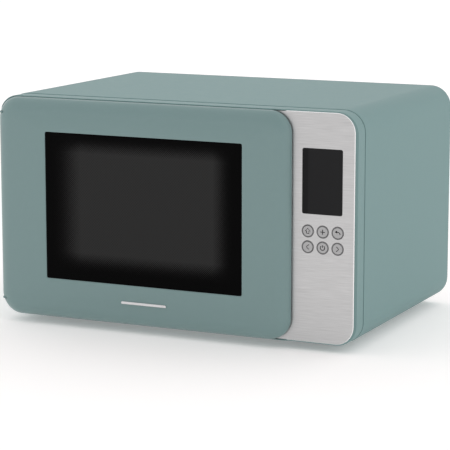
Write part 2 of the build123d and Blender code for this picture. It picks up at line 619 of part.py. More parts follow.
HUB_LOW = CAVITY_FLOOR + 1.0
HUB_TOP = TRAY_LOW + 1.5
WING = (24.0, 9.0)
WING_HIGH = 4.5
with BuildPart() as turntable_hub:
    rods(Plane.XY.offset(HUB_LOW), [TABLE], 9.0, HUB_TOP - HUB_LOW)
    with BuildSketch(Plane.XY.offset(TRAY_LOW - WING_HIGH)):
        with Locations(TABLE):
            with PolarLocations(WING[0] / 2, 3):
                RectangleRounded(*WING, 3.0)
    extrude(amount=HUB_TOP - TRAY_LOW + WING_HIGH)
    rods(Plane.XY.offset(HUB_LOW - 1), [TABLE], 3.0 + 0.05, SHAFT_TOP - HUB_LOW + 1.3, Mode.SUBTRACT)
write(turntable_hub, "turntable_hub")

with BuildPart() as glass_tray:
    with BuildSketch(Plane.XZ.offset(-TABLE[1])):
        with BuildLine():
            outline = Polyline(
                (TABLE[0], TRAY_LOW), (TABLE[0] + TRAY_RADIUS - 22, TRAY_LOW),
                (TABLE[0] + TRAY_RADIUS, TRAY_LOW + 9), (TABLE[0] + TRAY_RADIUS - 1.5, TRAY_LOW + 13),
                (TABLE[0] + TRAY_RADIUS - 23.5, TRAY_LOW + TRAY_THICK), (TABLE[0], TRAY_LOW + TRAY_THICK),
                close=True,
            )
        make_face()
    revolve(axis=Axis((TABLE[0], TABLE[1], 0), (0, 0, 1)))
    with BuildSketch(Plane.XY.offset(TRAY_LOW)):
        with Locations(TABLE):
            Circle(9.0 + GAP)
            with PolarLocations(WING[0] / 2, 3):
                RectangleRounded(WING[0] + 2 * GAP, WING[1] + 2 * GAP, 3.3)
    extrude(amount=HUB_TOP - TRAY_LOW + GAP, mode=Mode.SUBTRACT)
write(glass_tray, "glass_tray")

AXLE_RADIUS = 1.8
RING_MIDDLE = 84.0
with BuildPart() as roller_ring:
    with BuildSketch(Plane.XY.offset(WHEEL_Z - 2.5)):
        with Locations(TABLE):
            Circle(RING_MIDDLE + 4)
            Circle(RING_MIDDLE - 4, mode=Mode.SUBTRACT)
            Circle(15)
            Circle(9.6, mode=Mode.SUBTRACT)
            with PolarLocations(RING_MIDDLE / 2 + 5, 3):
                Rectangle(RING_MIDDLE - 14, 6)
    extrude(amount=5)
    for arm in range(3):
        arm_plane = Plane(
            origin=(TABLE[0], TABLE[1], WHEEL_Z),
            z_dir=(cos(radians(120 * arm)), sin(radians(120 * arm)), 0),
        )
        rods(arm_plane.offset(RING_MIDDLE), [(0, 0)], AXLE_RADIUS, WHEEL_CIRCLE + 5 - RING_MIDDLE)
write(roller_ring, "roller_ring")

for arm in range(3):
    with BuildPart() as wheel:
        arm_plane = Plane(
            origin=(TABLE[0], TABLE[1], WHEEL_Z),
            z_dir=(cos(radians(120 * arm)), sin(radians(120 * arm)), 0),
        )
        rods(arm_plane.offset(WHEEL_CIRCLE - 4), [(0, 0)], WHEEL_RADIUS, 8)
        fillet(edges().filter_by(GeomType.CIRCLE).group_by(SortBy.RADIUS)[-1], 1.0)
        rods(arm_plane.offset(WHEEL_CIRCLE - 6), [(0, 0)], AXLE_RADIUS + PIN_GAP, 12, Mode.SUBTRACT)
    write(wheel, f"roller_wheel_{arm + 1}")

# ---------------------------------------------------------------- door
HOLLOW = (-229.0, 143.0, 26.0, 281.0)      # left, right, bottom, top of the shell's hollow
HOLLOW_SIZE = (HOLLOW[1] - HOLLOW[0], HOLLOW[3] - HOLLOW[2])
HOLLOW_CENTRE = ((HOLLOW[0] + HOLLOW[1]) / 2, (HOLLOW[2] + HOLLOW[3]) / 2)
GRIP_Z = (100.0, 210.0)
GRIP_POCKET = (16.0, 4.0, 7.1)      # from the free edge: inner side, outer side; then depth
with BuildPart() as door_frame:
    slab(DOOR_FRONT, DOOR_BACK, (DOOR_WIDE, FRONT_HIGH), DOOR_CENTRE, DOOR_CORNER)
    fillet(faces().sort_by(Axis.Y)[0].edges(), DOOR_ROUNDING)
    fillet(faces().sort_by(Axis.Y)[-1].edges(), 0.6)
    window_hole = (WINDOW[0] + 0.3, WINDOW[1] + 0.3)
    slab(DOOR_FRONT - 1, DOOR_BACK, window_hole, WINDOW_CENTRE, WINDOW_CORNER, Mode.SUBTRACT)
    slab(SKIN_BACK, DOOR_BACK, HOLLOW_SIZE, HOLLOW_CENTRE, 8.0, Mode.SUBTRACT)
    for arm_z, way in HINGES.values():
        notch_low = (DOOR_LEFT - 5, HINGE_Y - PAD_RADIUS - 1.0, arm_z - 1.4)
        notch_high = (HINGE_X + PAD_RADIUS + 0.4, DOOR_BACK + 5, arm_z + 1.4)
        brick(notch_low, notch_high, Mode.SUBTRACT)
        bore_start = arm_z + way * 1.0
        bore_plane = Plane(origin=(HINGE_X, HINGE_Y, bore_start), z_dir=(0, 0, way))
        rods(bore_plane, [(0, 0)], PIN_RADIUS + PIN_GAP, PIN_LONG + 1, Mode.SUBTRACT)
    brick(
        (DOOR_RIGHT - GRIP_POCKET[0], DOOR_BACK - GRIP_POCKET[2], GRIP_Z[0]),
        (DOOR_RIGHT - GRIP_POCKET[1], DOOR_BACK + 5, GRIP_Z[1]),
        Mode.SUBTRACT,
    )
write(door_frame, "door_frame")

with BuildPart() as door_glass:
    slab(DOOR_FRONT + 0.4, SKIN_BACK - 0.1, WINDOW, WINDOW_CENTRE, WINDOW_CORNER)
    chamfer(faces().sort_by(Axis.Y)[0].edges(), 0.3)
write(door_glass, "door_glass")

TRIM = (64.0, 3.4)
TRIM_CENTRE = (WINDOW_CENTRE[0] + 2, 41.0)
with BuildPart() as door_trim_bar:
    slab(DOOR_FRONT - BAR_PROUD, DOOR_FRONT, TRIM, TRIM_CENTRE, 1.6)
    chamfer(faces().sort_by(Axis.Y)[0].edges(), 0.3)
write(door_trim_bar, "door_trim_bar")

PAN = (RECESS[0] - 4.6, RECESS[1] - 4.6)
PAN_BACK = FLANGE_FRONT - 2.5
SCREEN = (WINDOW[0] - 22, WINDOW[1] - 22)
with BuildPart() as door_pan:
    slab(SKIN_BACK + 0.1, PAN_BACK, PAN, FLANGE_CENTRE, 5.0)
    slab(SKIN_BACK + 1.1, PAN_BACK, (PAN[0] - 2, PAN[1] - 2), FLANGE_CENTRE, 4.0, Mode.SUBTRACT)
    slab(SKIN_BACK, PAN_BACK, SCREEN, WINDOW_CENTRE, 4.0, Mode.SUBTRACT)
write(door_pan, "door_pan")

with BuildPart() as door_screen:
    slab(SKIN_BACK + 1.2, SKIN_BACK + 1.8, (SCREEN[0] + 8, SCREEN[1] + 8), WINDOW_CENTRE, 4.0)
write(door_screen, "door_screen")

INNER_GLASS = (262.0, 172.0)
with BuildPart() as choke_cover:
    slab(PAN_BACK + 0.1, FLANGE_FRONT - 0.8, PAN, FLANGE_CENTRE, 5.0)
    slab(PAN_BACK - 5, PAN_BACK + 0.1, (PAN[0] - 3, PAN[1] - 3), FLANGE_CENTRE, 3.5)
    slab(PAN_BACK - 6, PAN_BACK - 1.4, (PAN[0] - 9, PAN[1] - 9), FLANGE_CENTRE, 2.0, Mode.SUBTRACT)
    slab(PAN_BACK - 3, FLANGE_FRONT, INNER_GLASS, WINDOW_CENTRE, 5.0, Mode.SUBTRACT)
write(choke_cover, "choke_cover")

with BuildPart() as door_inner_glass:
    inner_size = (INNER_GLASS[0] - 2 * GAP, INNER_GLASS[1] - 2 * GAP)
    slab(PAN_BACK - 1.2, FLANGE_FRONT - 1.0, inner_size, WINDOW_CENTRE, 4.7)
write(door_inner_glass, "door_inner_glass")

LINER_FRONT = DOOR_BACK - 1.5
with BuildPart() as door_liner:
    liner_size = (HOLLOW_SIZE[0] - 2 * GAP, HOLLOW_SIZE[1] - 2 * GAP)
    slab(LINER_FRONT, DOOR_BACK, liner_size, HOLLOW_CENTRE, 7.7)
    slab(LINER_FRONT, DOOR_BACK, (PAN[0] + 0.4, PAN[1] + 0.4), FLANGE_CENTRE, 5.2, Mode.SUBTRACT)
    for hook_z in HOOKS_Z:
        brick(
            (HOOK_X - HOOK_THICK / 2 - 0.6, LINER_FRONT - 1, hook_z - 0.8),
            (HOOK_X + HOOK_THICK / 2 + 0.6, DOOR_BACK + 1, hook_z + HOOK_HIGH + LATCH_LIFT + 0.8),
            Mode.SUBTRACT,
        )
write(door_liner, "door_liner")

BAR_FRONT = SKIN_BACK + 1.2
BAR_BACK = LINER_FRONT - 0.8
with BuildPart() as latch_bar:
    brick((HOOK_X - 5, BAR_FRONT, 70), (HOOK_X + 4, BAR_BACK, 252))
    for hook_z in HOOKS_Z:
        with BuildSketch(side_plane(HOOK_X - HOOK_THICK / 2)):
            with BuildLine():
                Polyline(
                    (BAR_FRONT + 1, hook_z + 3), (HOOK_END - 7, hook_z + 3), (HOOK_END - 7, hook_z),
                    (HOOK_END - 5, hook_z), (HOOK_END, hook_z + 5), (HOOK_END, hook_z + 8),
                    (HOOK_END - 2, hook_z + HOOK_HIGH), (BAR_FRONT + 1, hook_z + HOOK_HIGH), close=True,
                )
            make_face()
        extrude(amount=HOOK_THICK)
write(latch_bar, "latch_bar")

SPRING = (HOOK_X + 7.2, (BAR_FRONT + BAR_BACK) / 2)
with BuildPart() as latch_spring:
    with BuildLine():
        coil = Helix(pitch=1.6, height=24, radius=1.7, center=(*SPRING, 140))
    with BuildSketch(Plane(origin=coil @ 0, z_dir=coil % 0)):
        Circle(0.4)
    sweep(is_frenet=True)
write(latch_spring, "latch_spring")

# ---------------------------------------------------------------- hinges and interlock
TAB_BACK = FRAME_INSIDE + 3.3
for hinge, (arm_z, way) in HINGES.items():
    with BuildPart() as arm_piece:
        with BuildSketch(Plane.XY.offset(arm_z - ARM_THICK / 2)):
            with Locations((HINGE_X, HINGE_Y)):
                Circle(PAD_RADIUS)
            with Locations((HINGE_X, (HINGE_Y + TAB_BACK) / 2)):
                Rectangle(2 * PAD_RADIUS, TAB_BACK - HINGE_Y)
            with Locations((HINGE_X - PAD_RADIUS + 14, TAB_BACK - 1.5)):
                Rectangle(28, 3)
        extrude(amount=ARM_THICK)
        tab_ends = sorted((arm_z, arm_z + way * 26))
        brick((HINGE_X + 5, TAB_BACK - 1.5, tab_ends[0]), (HINGE_X + 24, TAB_BACK, tab_ends[1]))
        pin_plane = Plane(origin=(HINGE_X, HINGE_Y, arm_z), z_dir=(0, 0, way))
        rods(pin_plane, [(0, 0)], PIN_RADIUS, PIN_LONG + ARM_THICK / 2)
    write(arm_piece, hinge)

BRACKET = (HOOK_X - 3.6, HOOK_X + 4.4, HOOK_X + 7.0)    # ledge left, plate left, plate right
PLUNGER_FRONT = HOOK_END + 0.5
PLUNGER_TRAVEL = 1.5
SWITCH_FRONT = PLUNGER_FRONT + 2.5
SWITCH_DEEP = 16.0
with BuildPart() as interlock_bracket:
    brick((BRACKET[1], FRAME_INSIDE + 0.5, 70), (BRACKET[2], SWITCH_FRONT + SWITCH_DEEP + 2, 252))
    for hook_z in HOOKS_Z:
        for low in (hook_z - GAP - 3, hook_z + HOOK_HIGH + LATCH_LIFT + GAP):
            brick((BRACKET[0], FRAME_INSIDE + 0.5, low), (BRACKET[1], HOOK_END - 0.5, low + 3))
write(interlock_bracket, "interlock_bracket")

with BuildPart() as interlock_switches:
    for hook_z in HOOKS_Z:
        brick(
            (BRACKET[1] - 6.5, SWITCH_FRONT, hook_z - 7),
            (BRACKET[1] - 0.1, SWITCH_FRONT + SWITCH_DEEP, hook_z + 21),
        )
        brick(
            (BRACKET[1] - 5.0, SWITCH_FRONT - 1, hook_z + 3.2),
            (BRACKET[1] - 1.4, SWITCH_FRONT + 6, hook_z + 8.8),
            Mode.SUBTRACT,
        )
write(interlock_switches, "interlock_switches")

for hook_z, name in zip(HOOKS_Z, ("lower", "upper")):
    with BuildPart() as plunger:
        brick(
            (BRACKET[1] - 4.7, PLUNGER_FRONT, hook_z + 3.5),
            (BRACKET[1] - 1.7, SWITCH_FRONT + 3.5, hook_z + 8.5),
        )
    write(plunger, f"switch_plunger_{name}")
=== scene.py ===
# %% [markdown]
# # A countertop microwave oven
# This lesson dresses a finished mechanical model of a microwave oven. The mechanical model comes in as a
# fixed frame: every sheet, hinge pin and key is already at its real size, in metres, and moves with a named
# body. What is added here is what the eye judges: the pillowed lacquered door, the printed glass, the grain of
# the brushed panel, the marks on the keys, and a finish with real texture for every piece.

# %% Load the frame
import math
import json

import bmesh
import bpy
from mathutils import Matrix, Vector


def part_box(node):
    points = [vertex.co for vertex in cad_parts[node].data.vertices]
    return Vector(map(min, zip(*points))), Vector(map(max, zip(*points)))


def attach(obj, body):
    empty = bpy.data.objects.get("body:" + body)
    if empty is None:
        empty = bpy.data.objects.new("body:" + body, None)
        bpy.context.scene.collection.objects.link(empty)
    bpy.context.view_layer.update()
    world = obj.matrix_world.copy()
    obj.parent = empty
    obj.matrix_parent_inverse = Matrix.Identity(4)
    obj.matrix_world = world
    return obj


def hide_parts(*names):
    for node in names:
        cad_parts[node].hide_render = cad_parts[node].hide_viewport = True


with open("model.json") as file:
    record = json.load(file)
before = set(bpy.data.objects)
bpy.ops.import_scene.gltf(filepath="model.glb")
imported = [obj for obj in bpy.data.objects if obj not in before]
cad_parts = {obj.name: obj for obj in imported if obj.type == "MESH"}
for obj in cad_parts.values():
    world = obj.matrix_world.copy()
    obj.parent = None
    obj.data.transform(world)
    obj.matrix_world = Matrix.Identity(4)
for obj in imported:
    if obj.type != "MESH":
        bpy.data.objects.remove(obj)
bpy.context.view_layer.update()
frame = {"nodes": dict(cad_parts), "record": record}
nodes = frame["nodes"]
MM = 0.001

# %% [markdown]
# ## Camera
# A long lens stands to the right of the oven and a little above it, so that upright edges stay nearly
# parallel. The target is a point low on the control panel's plane. No lens shift is used.

# %% Place the camera
CAMERA_EYE = Vector((1.1122, -2.375, 0.5751))
CAMERA_TARGET = Vector((0.0732, -0.1612, 0.1488))
CAMERA_LENS = 159.8

camera_data = bpy.data.cameras.new("camera")
camera_data.lens = CAMERA_LENS
camera_data.sensor_width = 36.0
camera = bpy.data.objects.new("camera", camera_data)
bpy.context.scene.collection.objects.link(camera)
camera.location = CAMERA_EYE
camera.rotation_euler = (CAMERA_TARGET - CAMERA_EYE).to_track_quat("-Z", "Y").to_euler()
bpy.context.scene.camera = camera
print("camera distance:", round((CAMERA_TARGET - CAMERA_EYE).length, 3), "m")

# %% [markdown]
# ## Stage and light
# A plain pale floor that gives off a little light of its own, and a dome of soft light. The dome is dimmer
# towards the front, where the camera stands, and overhead, which keeps the dark glass dark.

# %% Build the stage
def linked(name, mesh):
    """A new object for a mesh, in the scene."""
    thing = bpy.data.objects.new(name, mesh)
    bpy.context.scene.collection.objects.link(thing)
    return thing


def node_material(name):
    """A new node material; returns it with its tree and its Principled shader."""
    material = bpy.data.materials.new(name)
    material.use_nodes = True
    tree = material.node_tree
    tree.nodes.clear()
    shader = tree.nodes.new("ShaderNodeBsdfPrincipled")
    output = tree.nodes.new("ShaderNodeOutputMaterial")
    tree.links.new(shader.outputs["BSDF"], output.inputs["Surface"])
    return material, tree, shader


FLOOR_SIZE = 12.0
FLOOR_GLOW = 0.20
DOME_FRONT = 0.76
DOME_BACK = 1.52
DOME_ABOVE = 0.80
DOME_TURN = (-0.95, -0.1)
DOME_RISE = 0.25
FLOOR_WHITE = (0.93, 0.905, 0.90, 1)
floor_mesh = bpy.data.meshes.new("floor")
half = FLOOR_SIZE / 2
floor_mesh.from_pydata(
    [(-half, -half, 0), (half, -half, 0), (half, half, 0), (-half, half, 0)], [], [(0, 1, 2, 3)]
)
floor = linked("floor", floor_mesh)
floor_paint, floor_tree, floor_shader = node_material("floor_white")
floor_shader.inputs["Base Color"].default_value = FLOOR_WHITE
floor_shader.inputs["Roughness"].default_value = 0.9
floor_shader.inputs["Specular IOR Level"].default_value = 0.0
floor_shader.inputs["Emission Color"].default_value = (1.0, 1.0, 1.0, 1)
floor_shader.inputs["Emission Strength"].default_value = FLOOR_GLOW
floor_mesh.materials.append(floor_paint)

bpy.context.scene.view_settings.view_transform = "Standard"
world = bpy.data.worlds.new("dome")
bpy.context.scene.world = world
world.use_nodes = True
sky = world.node_tree
sky.nodes.clear()
direction = sky.nodes.new("ShaderNodeTexCoord")
split = sky.nodes.new("ShaderNodeSeparateXYZ")
ramp = sky.nodes.new("ShaderNodeMapRange")
background = sky.nodes.new("ShaderNodeBackground")
sky_output = sky.nodes.new("ShaderNodeOutputWorld")
sky.links.new(direction.outputs["Generated"], split.inputs[0])
sky.links.new(split.outputs["Y"], ramp.inputs["Value"])
ramp.inputs["From Min"].default_value = DOME_TURN[0]
ramp.inputs["From Max"].default_value = DOME_TURN[1]
ramp.inputs["To Min"].default_value = DOME_FRONT
ramp.inputs["To Max"].default_value = DOME_BACK
overhead = sky.nodes.new("ShaderNodeMapRange")
overhead.inputs["From Min"].default_value = DOME_RISE
overhead.inputs["From Max"].default_value = 1.0
overhead.inputs["To Min"].default_value = 1.0
overhead.inputs["To Max"].default_value = DOME_ABOVE
sky.links.new(split.outputs["Z"], overhead.inputs["Value"])
strength = sky.nodes.new("ShaderNodeMath")
strength.operation = "MULTIPLY"
sky.links.new(ramp.outputs["Result"], strength.inputs[0])
sky.links.new(overhead.outputs["Result"], strength.inputs[1])
sky.links.new(strength.outputs[0], background.inputs["Strength"])
sky.links.new(background.outputs["Background"], sky_output.inputs["Surface"])

# %% [markdown]
# ## Door shell
# The lacquered door is one pillowed shell: a rounded rectangle whose edges roll back in a soft round, with
# a slight crown from the rim to the window. Such a form is a stack of closed rings, each a rounded rectangle
# of its own size and depth, joined into a skin. Rings give full control of the roll at the edge.

# %% Ring helpers
CORNER_STEPS = 12
SIDE_STEPS = 14


def rounded_ring(low, high, corner, depth):
    """Points of a rounded rectangle in x and z at one depth, always the same number and order."""
    points = []
    centres = (
        (high[0] - corner, high[1] - corner, 0),
        (low[0] + corner, high[1] - corner, 90),
        (low[0] + corner, low[1] + corner, 180),
        (high[0] - corner, low[1] + corner, 270),
    )
    arcs = []
    for x, z, start in centres:
        arc = []
        for step in range(CORNER_STEPS + 1):
            angle = math.radians(start + 90 * step / CORNER_STEPS)
            arc.append(Vector((x + corner * math.cos(angle), depth, z + corner * math.sin(angle))))
        arcs.append(arc)
    for index, arc in enumerate(arcs):
        following = arcs[(index + 1) % 4][0]
        points.extend(arc)
        for step in range(1, SIDE_STEPS):
            points.append(arc[-1].lerp(following, step / SIDE_STEPS))
    return points


def skin_of_rings(name, rings, closed=False):
    """A mesh object that joins rings of equal count, and joins the last to the first if closed."""
    mesh = bmesh.new()
    loops = [[mesh.verts.new(p) for p in ring] for ring in rings]
    pairs = list(zip(loops, loops[1:]))
    if closed:
        pairs.append((loops[-1], loops[0]))
    for first, second in pairs:
        count = len(first)
        for i in range(count):
            j = (i + 1) % count
            mesh.faces.new((first[i], first[j], second[j], second[i]))
    bmesh.ops.remove_doubles(mesh, verts=mesh.verts, dist=1e-6)
    bmesh.ops.recalc_face_normals(mesh, faces=mesh.faces)
    data = bpy.data.meshes.new(name)
    mesh.to_mesh(data)
    mesh.free()
    for polygon in data.polygons:
        polygon.use_smooth = True
    return linked(name, data)


# %% Make the door shell
DOOR_CORNER = 28.0 * MM
DOOR_ROLL = 11.8 * MM
DOOR_ROLL_WIDE = 20.0 * MM
DOOR_CROWN = 1.2 * MM
ROLL_STEPS = 12
WINDOW_CORNER = 2.3 * MM
WINDOW_EDGE = 0.5 * MM
WINDOW_GAP = 0.15 * MM
SKIN = 4.0 * MM
HOLLOW_GAP = 0.3 * MM
HOLLOW_CORNER = 8.0 * MM

door_low, door_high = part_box("door_frame")
glass_low, glass_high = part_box("door_glass")
liner_low, liner_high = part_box("door_liner")


def outline_ring(inset, depth, corner=None):
    """The door's outline, moved in by inset, at a depth."""
    radius = max(DOOR_CORNER - inset, 0.5 * MM) if corner is None else corner
    low = (door_low.x + inset, door_low.z + inset)
    high = (door_high.x - inset, door_high.z - inset)
    return rounded_ring(low, high, radius, depth)


def window_ring(grow, depth):
    """The window opening, made larger by grow, at a depth."""
    low = (glass_low.x - grow, glass_low.z - grow)
    high = (glass_high.x + grow, glass_high.z + grow)
    return rounded_ring(low, high, WINDOW_CORNER + grow, depth)


def blend_rings(first, second, share, depth):
    """A ring between two rings, set to a depth."""
    made = [a.lerp(b, share) for a, b in zip(first, second)]
    for point in made:
        point.y = depth
    return made


front = door_low.y
back = door_high.y
BACK_ROUND = ((0.8 * MM, 0.0), (0.25 * MM, 0.25 * MM), (0.0, 0.7 * MM))
rings = [outline_ring(inset, back - forward) for inset, forward in BACK_ROUND]
for step in range(ROLL_STEPS + 1):
    angle = math.radians(90 * step / ROLL_STEPS)
    inset = DOOR_ROLL_WIDE * (1 - math.cos(angle))
    depth = front + DOOR_CROWN + DOOR_ROLL * (1 - math.sin(angle))
    rings.append(outline_ring(inset, depth))
CROWN_STEPS = 10
rim_ring = outline_ring(DOOR_ROLL_WIDE, front)
edge_ring = window_ring(WINDOW_EDGE, front)
for step in range(1, CROWN_STEPS + 1):
    share = step / CROWN_STEPS
    rings.append(blend_rings(rim_ring, edge_ring, share, front + DOOR_CROWN * (1 - share) ** 2))
rings.append(window_ring(WINDOW_EDGE * 0.3, front + WINDOW_EDGE * 0.3))
rings.append(window_ring(WINDOW_GAP, front + WINDOW_EDGE))
rings.append(window_ring(WINDOW_GAP, front + SKIN))
hollow_low = (liner_low.x - HOLLOW_GAP, liner_low.z - HOLLOW_GAP)
hollow_high = (liner_high.x + HOLLOW_GAP, liner_high.z + HOLLOW_GAP)
rings.append(rounded_ring(hollow_low, hollow_high, HOLLOW_CORNER, front + SKIN))
rings.append(rounded_ring(hollow_low, hollow_high, HOLLOW_CORNER, back))
door_shell = skin_of_rings("door_shell", rings, closed=True)
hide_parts("door_frame")
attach(door_shell, "door")
print("door shell faces:", len(door_shell.data.polygons))

# %% [markdown]
# ## Finishes that wander
# No real finish is one flat value. Lacquer has a faint orange peel, sheet steel has rolling marks, moulded
# plastic has a spark texture. One helper makes all of these: a noise in object space, stretched if the
# process had a direction, which moves the colour between two near tones and also moves the roughness. A
# second, finer noise gives the bump. Object space is used because it stays on the piece as it moves.

# %% Finish helpers
def join(tree, source, target):
    """Link two sockets."""
    tree.links.new(source, target)


def math_node(tree, operation, first, second=None, clamp=False):
    """A math node whose inputs are sockets or numbers; returns its output."""
    node = tree.nodes.new("ShaderNodeMath")
    node.operation = operation
    node.use_clamp = clamp
    for socket, value in zip(node.inputs, (first, second)):
        if value is None:
            continue
        if isinstance(value, (int, float)):
            socket.default_value = value
        else:
            join(tree, value, socket)
    return node.outputs[0]


def object_place(tree, scale=(1.0, 1.0, 1.0), turn=(0.0, 0.0, 0.0)):
    """Object coordinates through a Mapping node; returns the vector output."""
    place = tree.nodes.new("ShaderNodeTexCoord")
    mapping = tree.nodes.new("ShaderNodeMapping")
    mapping.inputs["Scale"].default_value = scale
    mapping.inputs["Rotation"].default_value = turn
    join(tree, place.outputs["Object"], mapping.inputs["Vector"])
    return mapping.outputs["Vector"]


def noise(tree, vector, scale, detail=3.0):
    """A noise texture's value."""
    node = tree.nodes.new("ShaderNodeTexNoise")
    node.inputs["Scale"].default_value = scale
    node.inputs["Detail"].default_value = detail
    join(tree, vector, node.inputs["Vector"])
    return node.outputs["Fac"]


def two_tone(tree, value, low, high, start=0.35, stop=0.65):
    """A colour ramp between two tones; returns its colour."""
    ramp_node = tree.nodes.new("ShaderNodeValToRGB")
    ramp_node.color_ramp.elements[0].position = start
    ramp_node.color_ramp.elements[0].color = (*low, 1)
    ramp_node.color_ramp.elements[1].position = stop
    ramp_node.color_ramp.elements[1].color = (*high, 1)
    join(tree, value, ramp_node.inputs["Fac"])
    return ramp_node.outputs["Color"]


def spread(tree, value, low, high, start=0.3, stop=0.7):
    """A number moved from one range to another."""
    node = tree.nodes.new("ShaderNodeMapRange")
    node.inputs["From Min"].default_value = start
    node.inputs["From Max"].default_value = stop
    node.inputs["To Min"].default_value = low
    node.inputs["To Max"].default_value = high
    join(tree, value, node.inputs["Value"])
    return node.outputs["Result"]


def raise_surface(tree, shader, height, distance):
    """A bump of a real depth, in metres."""
    node = tree.nodes.new("ShaderNodeBump")
    node.inputs["Strength"].default_value = 1.0
    node.inputs["Distance"].default_value = distance
    join(tree, height, node.inputs["Height"])
    join(tree, node.outputs["Normal"], shader.inputs["Normal"])


def shade(colour, factor):
    """A tone lighter or darker than another."""
    return tuple(min(channel * factor, 1.0) for channel in colour)


def wandering(
    name, colour, vary, roughness, grain, bump, metallic=0.0, specular=0.5, stretch=(1, 1, 1), coat=0.0,
):
    """A finish whose tone, roughness and height wander with noises of a given grain size."""
    material, tree, shader = node_material(name)
    vector = object_place(tree, stretch)
    broad = noise(tree, vector, 0.15 / grain)
    fine = noise(tree, vector, 1.0 / grain, 2.0)
    both = math_node(
        tree, "ADD", math_node(tree, "MULTIPLY", broad, 0.5), math_node(tree, "MULTIPLY", fine, 0.5)
    )
    tone = two_tone(tree, both, shade(colour, 1 - vary), shade(colour, 1 + vary))
    join(tree, tone, shader.inputs["Base Color"])
    join(tree, spread(tree, both, roughness[0], roughness[1]), shader.inputs["Roughness"])
    shader.inputs["Metallic"].default_value = metallic
    shader.inputs["Specular IOR Level"].default_value = specular
    shader.inputs["Coat Weight"].default_value = coat
    shader.inputs["Coat Roughness"].default_value = 0.12
    raise_surface(tree, shader, fine, bump)
    return material


# %% [markdown]
# ## Paint, plastic and metal
# The casing and door share one soft grey green. The cover is powder coated steel and gets the coarser orange
# peel; the door and front frame are lacquered with a finer one, a few thousandths of a millimetre deep or
# less. The cover and the frame reflect far less here than real paint does, because the wide bright dome would
# wash out their colour. The door has a little sheen.

# %% Make the plain finishes
# Each row: slot, name, colour, how far the tone wanders, lowest and highest roughness, grain and bump in
# millimetres, and anything beyond that.
GREY_GREEN = (0.196, 0.300, 0.299)
DOOR_GREEN = shade(GREY_GREEN, 0.93)
PLAIN = (
    ("door_paint", "door_lacquer", DOOR_GREEN, 0.012, (0.28, 0.36), 0.9, 0.0015, {}),
    ("cover_paint", "cover_powder_coat", GREY_GREEN, 0.02, (0.44, 0.54), 1.3, 0.006, {"specular": 0.06}),
    ("frame_paint", "frame_lacquer", GREY_GREEN, 0.012, (0.42, 0.50), 0.9, 0.003, {"specular": 0.08}),
    ("bright_trim", "polished_trim", (0.66, 0.66, 0.67), 0.03, (0.10, 0.18), 3, 0.0002, {"metallic": 1.0}),
    ("black_plastic", "spark_textured_plastic", (0.022, 0.022, 0.023), 0.15, (0.50, 0.68), 0.5, 0.03,
     {"specular": 0.4}),
    ("collar_grey", "satin_grey_collar", (0.155, 0.155, 0.158), 0.06, (0.30, 0.40), 0.6, 0.003,
     {"metallic": 0.3}),
    ("cap_metal", "brushed_cap", (0.42, 0.42, 0.424), 0.06, (0.30, 0.42), 0.25, 0.002,
     {"metallic": 0.85, "stretch": (0.04, 1, 1)}),
    ("screen_steel", "enamelled_screen", (0.028, 0.028, 0.030), 0.12, (0.35, 0.5), 0.7, 0.004, {}),
    ("cavity_enamel", "cavity_enamel", (0.50, 0.51, 0.50), 0.05, (0.28, 0.38), 0.8, 0.012, {"coat": 0.25}),
    ("zinc_screw", "zinc_plate", (0.62, 0.61, 0.57), 0.10, (0.28, 0.42), 0.6, 0.003, {"metallic": 1.0}),
    ("rubber", "foot_rubber", (0.020, 0.020, 0.020), 0.25, (0.72, 0.85), 0.4, 0.03, {"specular": 0.25}),
    ("nylon_white", "moulded_nylon", (0.74, 0.74, 0.70), 0.04, (0.42, 0.55), 0.8, 0.01, {}),
    ("aluminium", "mill_aluminium", (0.72, 0.73, 0.74), 0.07, (0.30, 0.45), 0.4, 0.004,
     {"metallic": 1.0, "stretch": (1, 0.06, 1)}),
    ("spring_steel", "drawn_wire", (0.55, 0.55, 0.56), 0.10, (0.20, 0.32), 0.3, 0.002, {"metallic": 1.0}),
)
finishes = {}
for slot, name, colour, vary, roughness, grain, bump, more in PLAIN:
    finishes[slot] = wandering(name, colour, vary, roughness, grain * MM, bump * MM, **more)
door_nodes = finishes["door_paint"].node_tree.nodes
door_shader = next(node for node in door_nodes if node.type == "BSDF_PRINCIPLED")
door_shader.inputs["Sheen Weight"].default_value = 0.22
door_shader.inputs["Sheen Roughness"].default_value = 0.35
print("plain finishes:", len(finishes))

# %% [markdown]
# ## Brushed panel with a polished edge
# The control panel is a metal plate brushed sideways with fine abrasive, then its rim is cut with a polished
# bevel. The brush marks are a noise squeezed until it is long in x and thin in z. The bevel is found by its
# surface direction, since only there does the surface not face the user, and gets no grain.

# %% Make the brushed panel
BRUSH_LONG = 36.0
BRUSH_THIN = 2300.0
PANEL_METAL = (0.575, 0.575, 0.578)
BEVEL_METAL = (0.92, 0.92, 0.925, 1)
BEVEL_ROUGH = 0.10
FACING_FRONT = 0.97
material, tree, shader = node_material("brushed_panel")
streaks = noise(tree, object_place(tree, (BRUSH_LONG, 1.0, BRUSH_THIN)), 1.0, 6.0)
clouds = noise(tree, object_place(tree), 9.0, 2.0)
place = tree.nodes.new("ShaderNodeTexCoord")
facing = tree.nodes.new("ShaderNodeSeparateXYZ")
join(tree, place.outputs["Normal"], facing.inputs[0])
flat = math_node(tree, "GREATER_THAN", math_node(tree, "ABSOLUTE", facing.outputs["Y"]), FACING_FRONT)
grain_tone = two_tone(tree, streaks, shade(PANEL_METAL, 0.83), shade(PANEL_METAL, 1.14), 0.25, 0.75)
mix = tree.nodes.new("ShaderNodeMix")
mix.data_type = "RGBA"
join(tree, flat, mix.inputs["Factor"])
mix.inputs["A"].default_value = BEVEL_METAL
join(tree, grain_tone, mix.inputs["B"])
join(tree, mix.outputs["Result"], shader.inputs["Base Color"])
cloudy = math_node(tree, "MULTIPLY", clouds, 0.06)
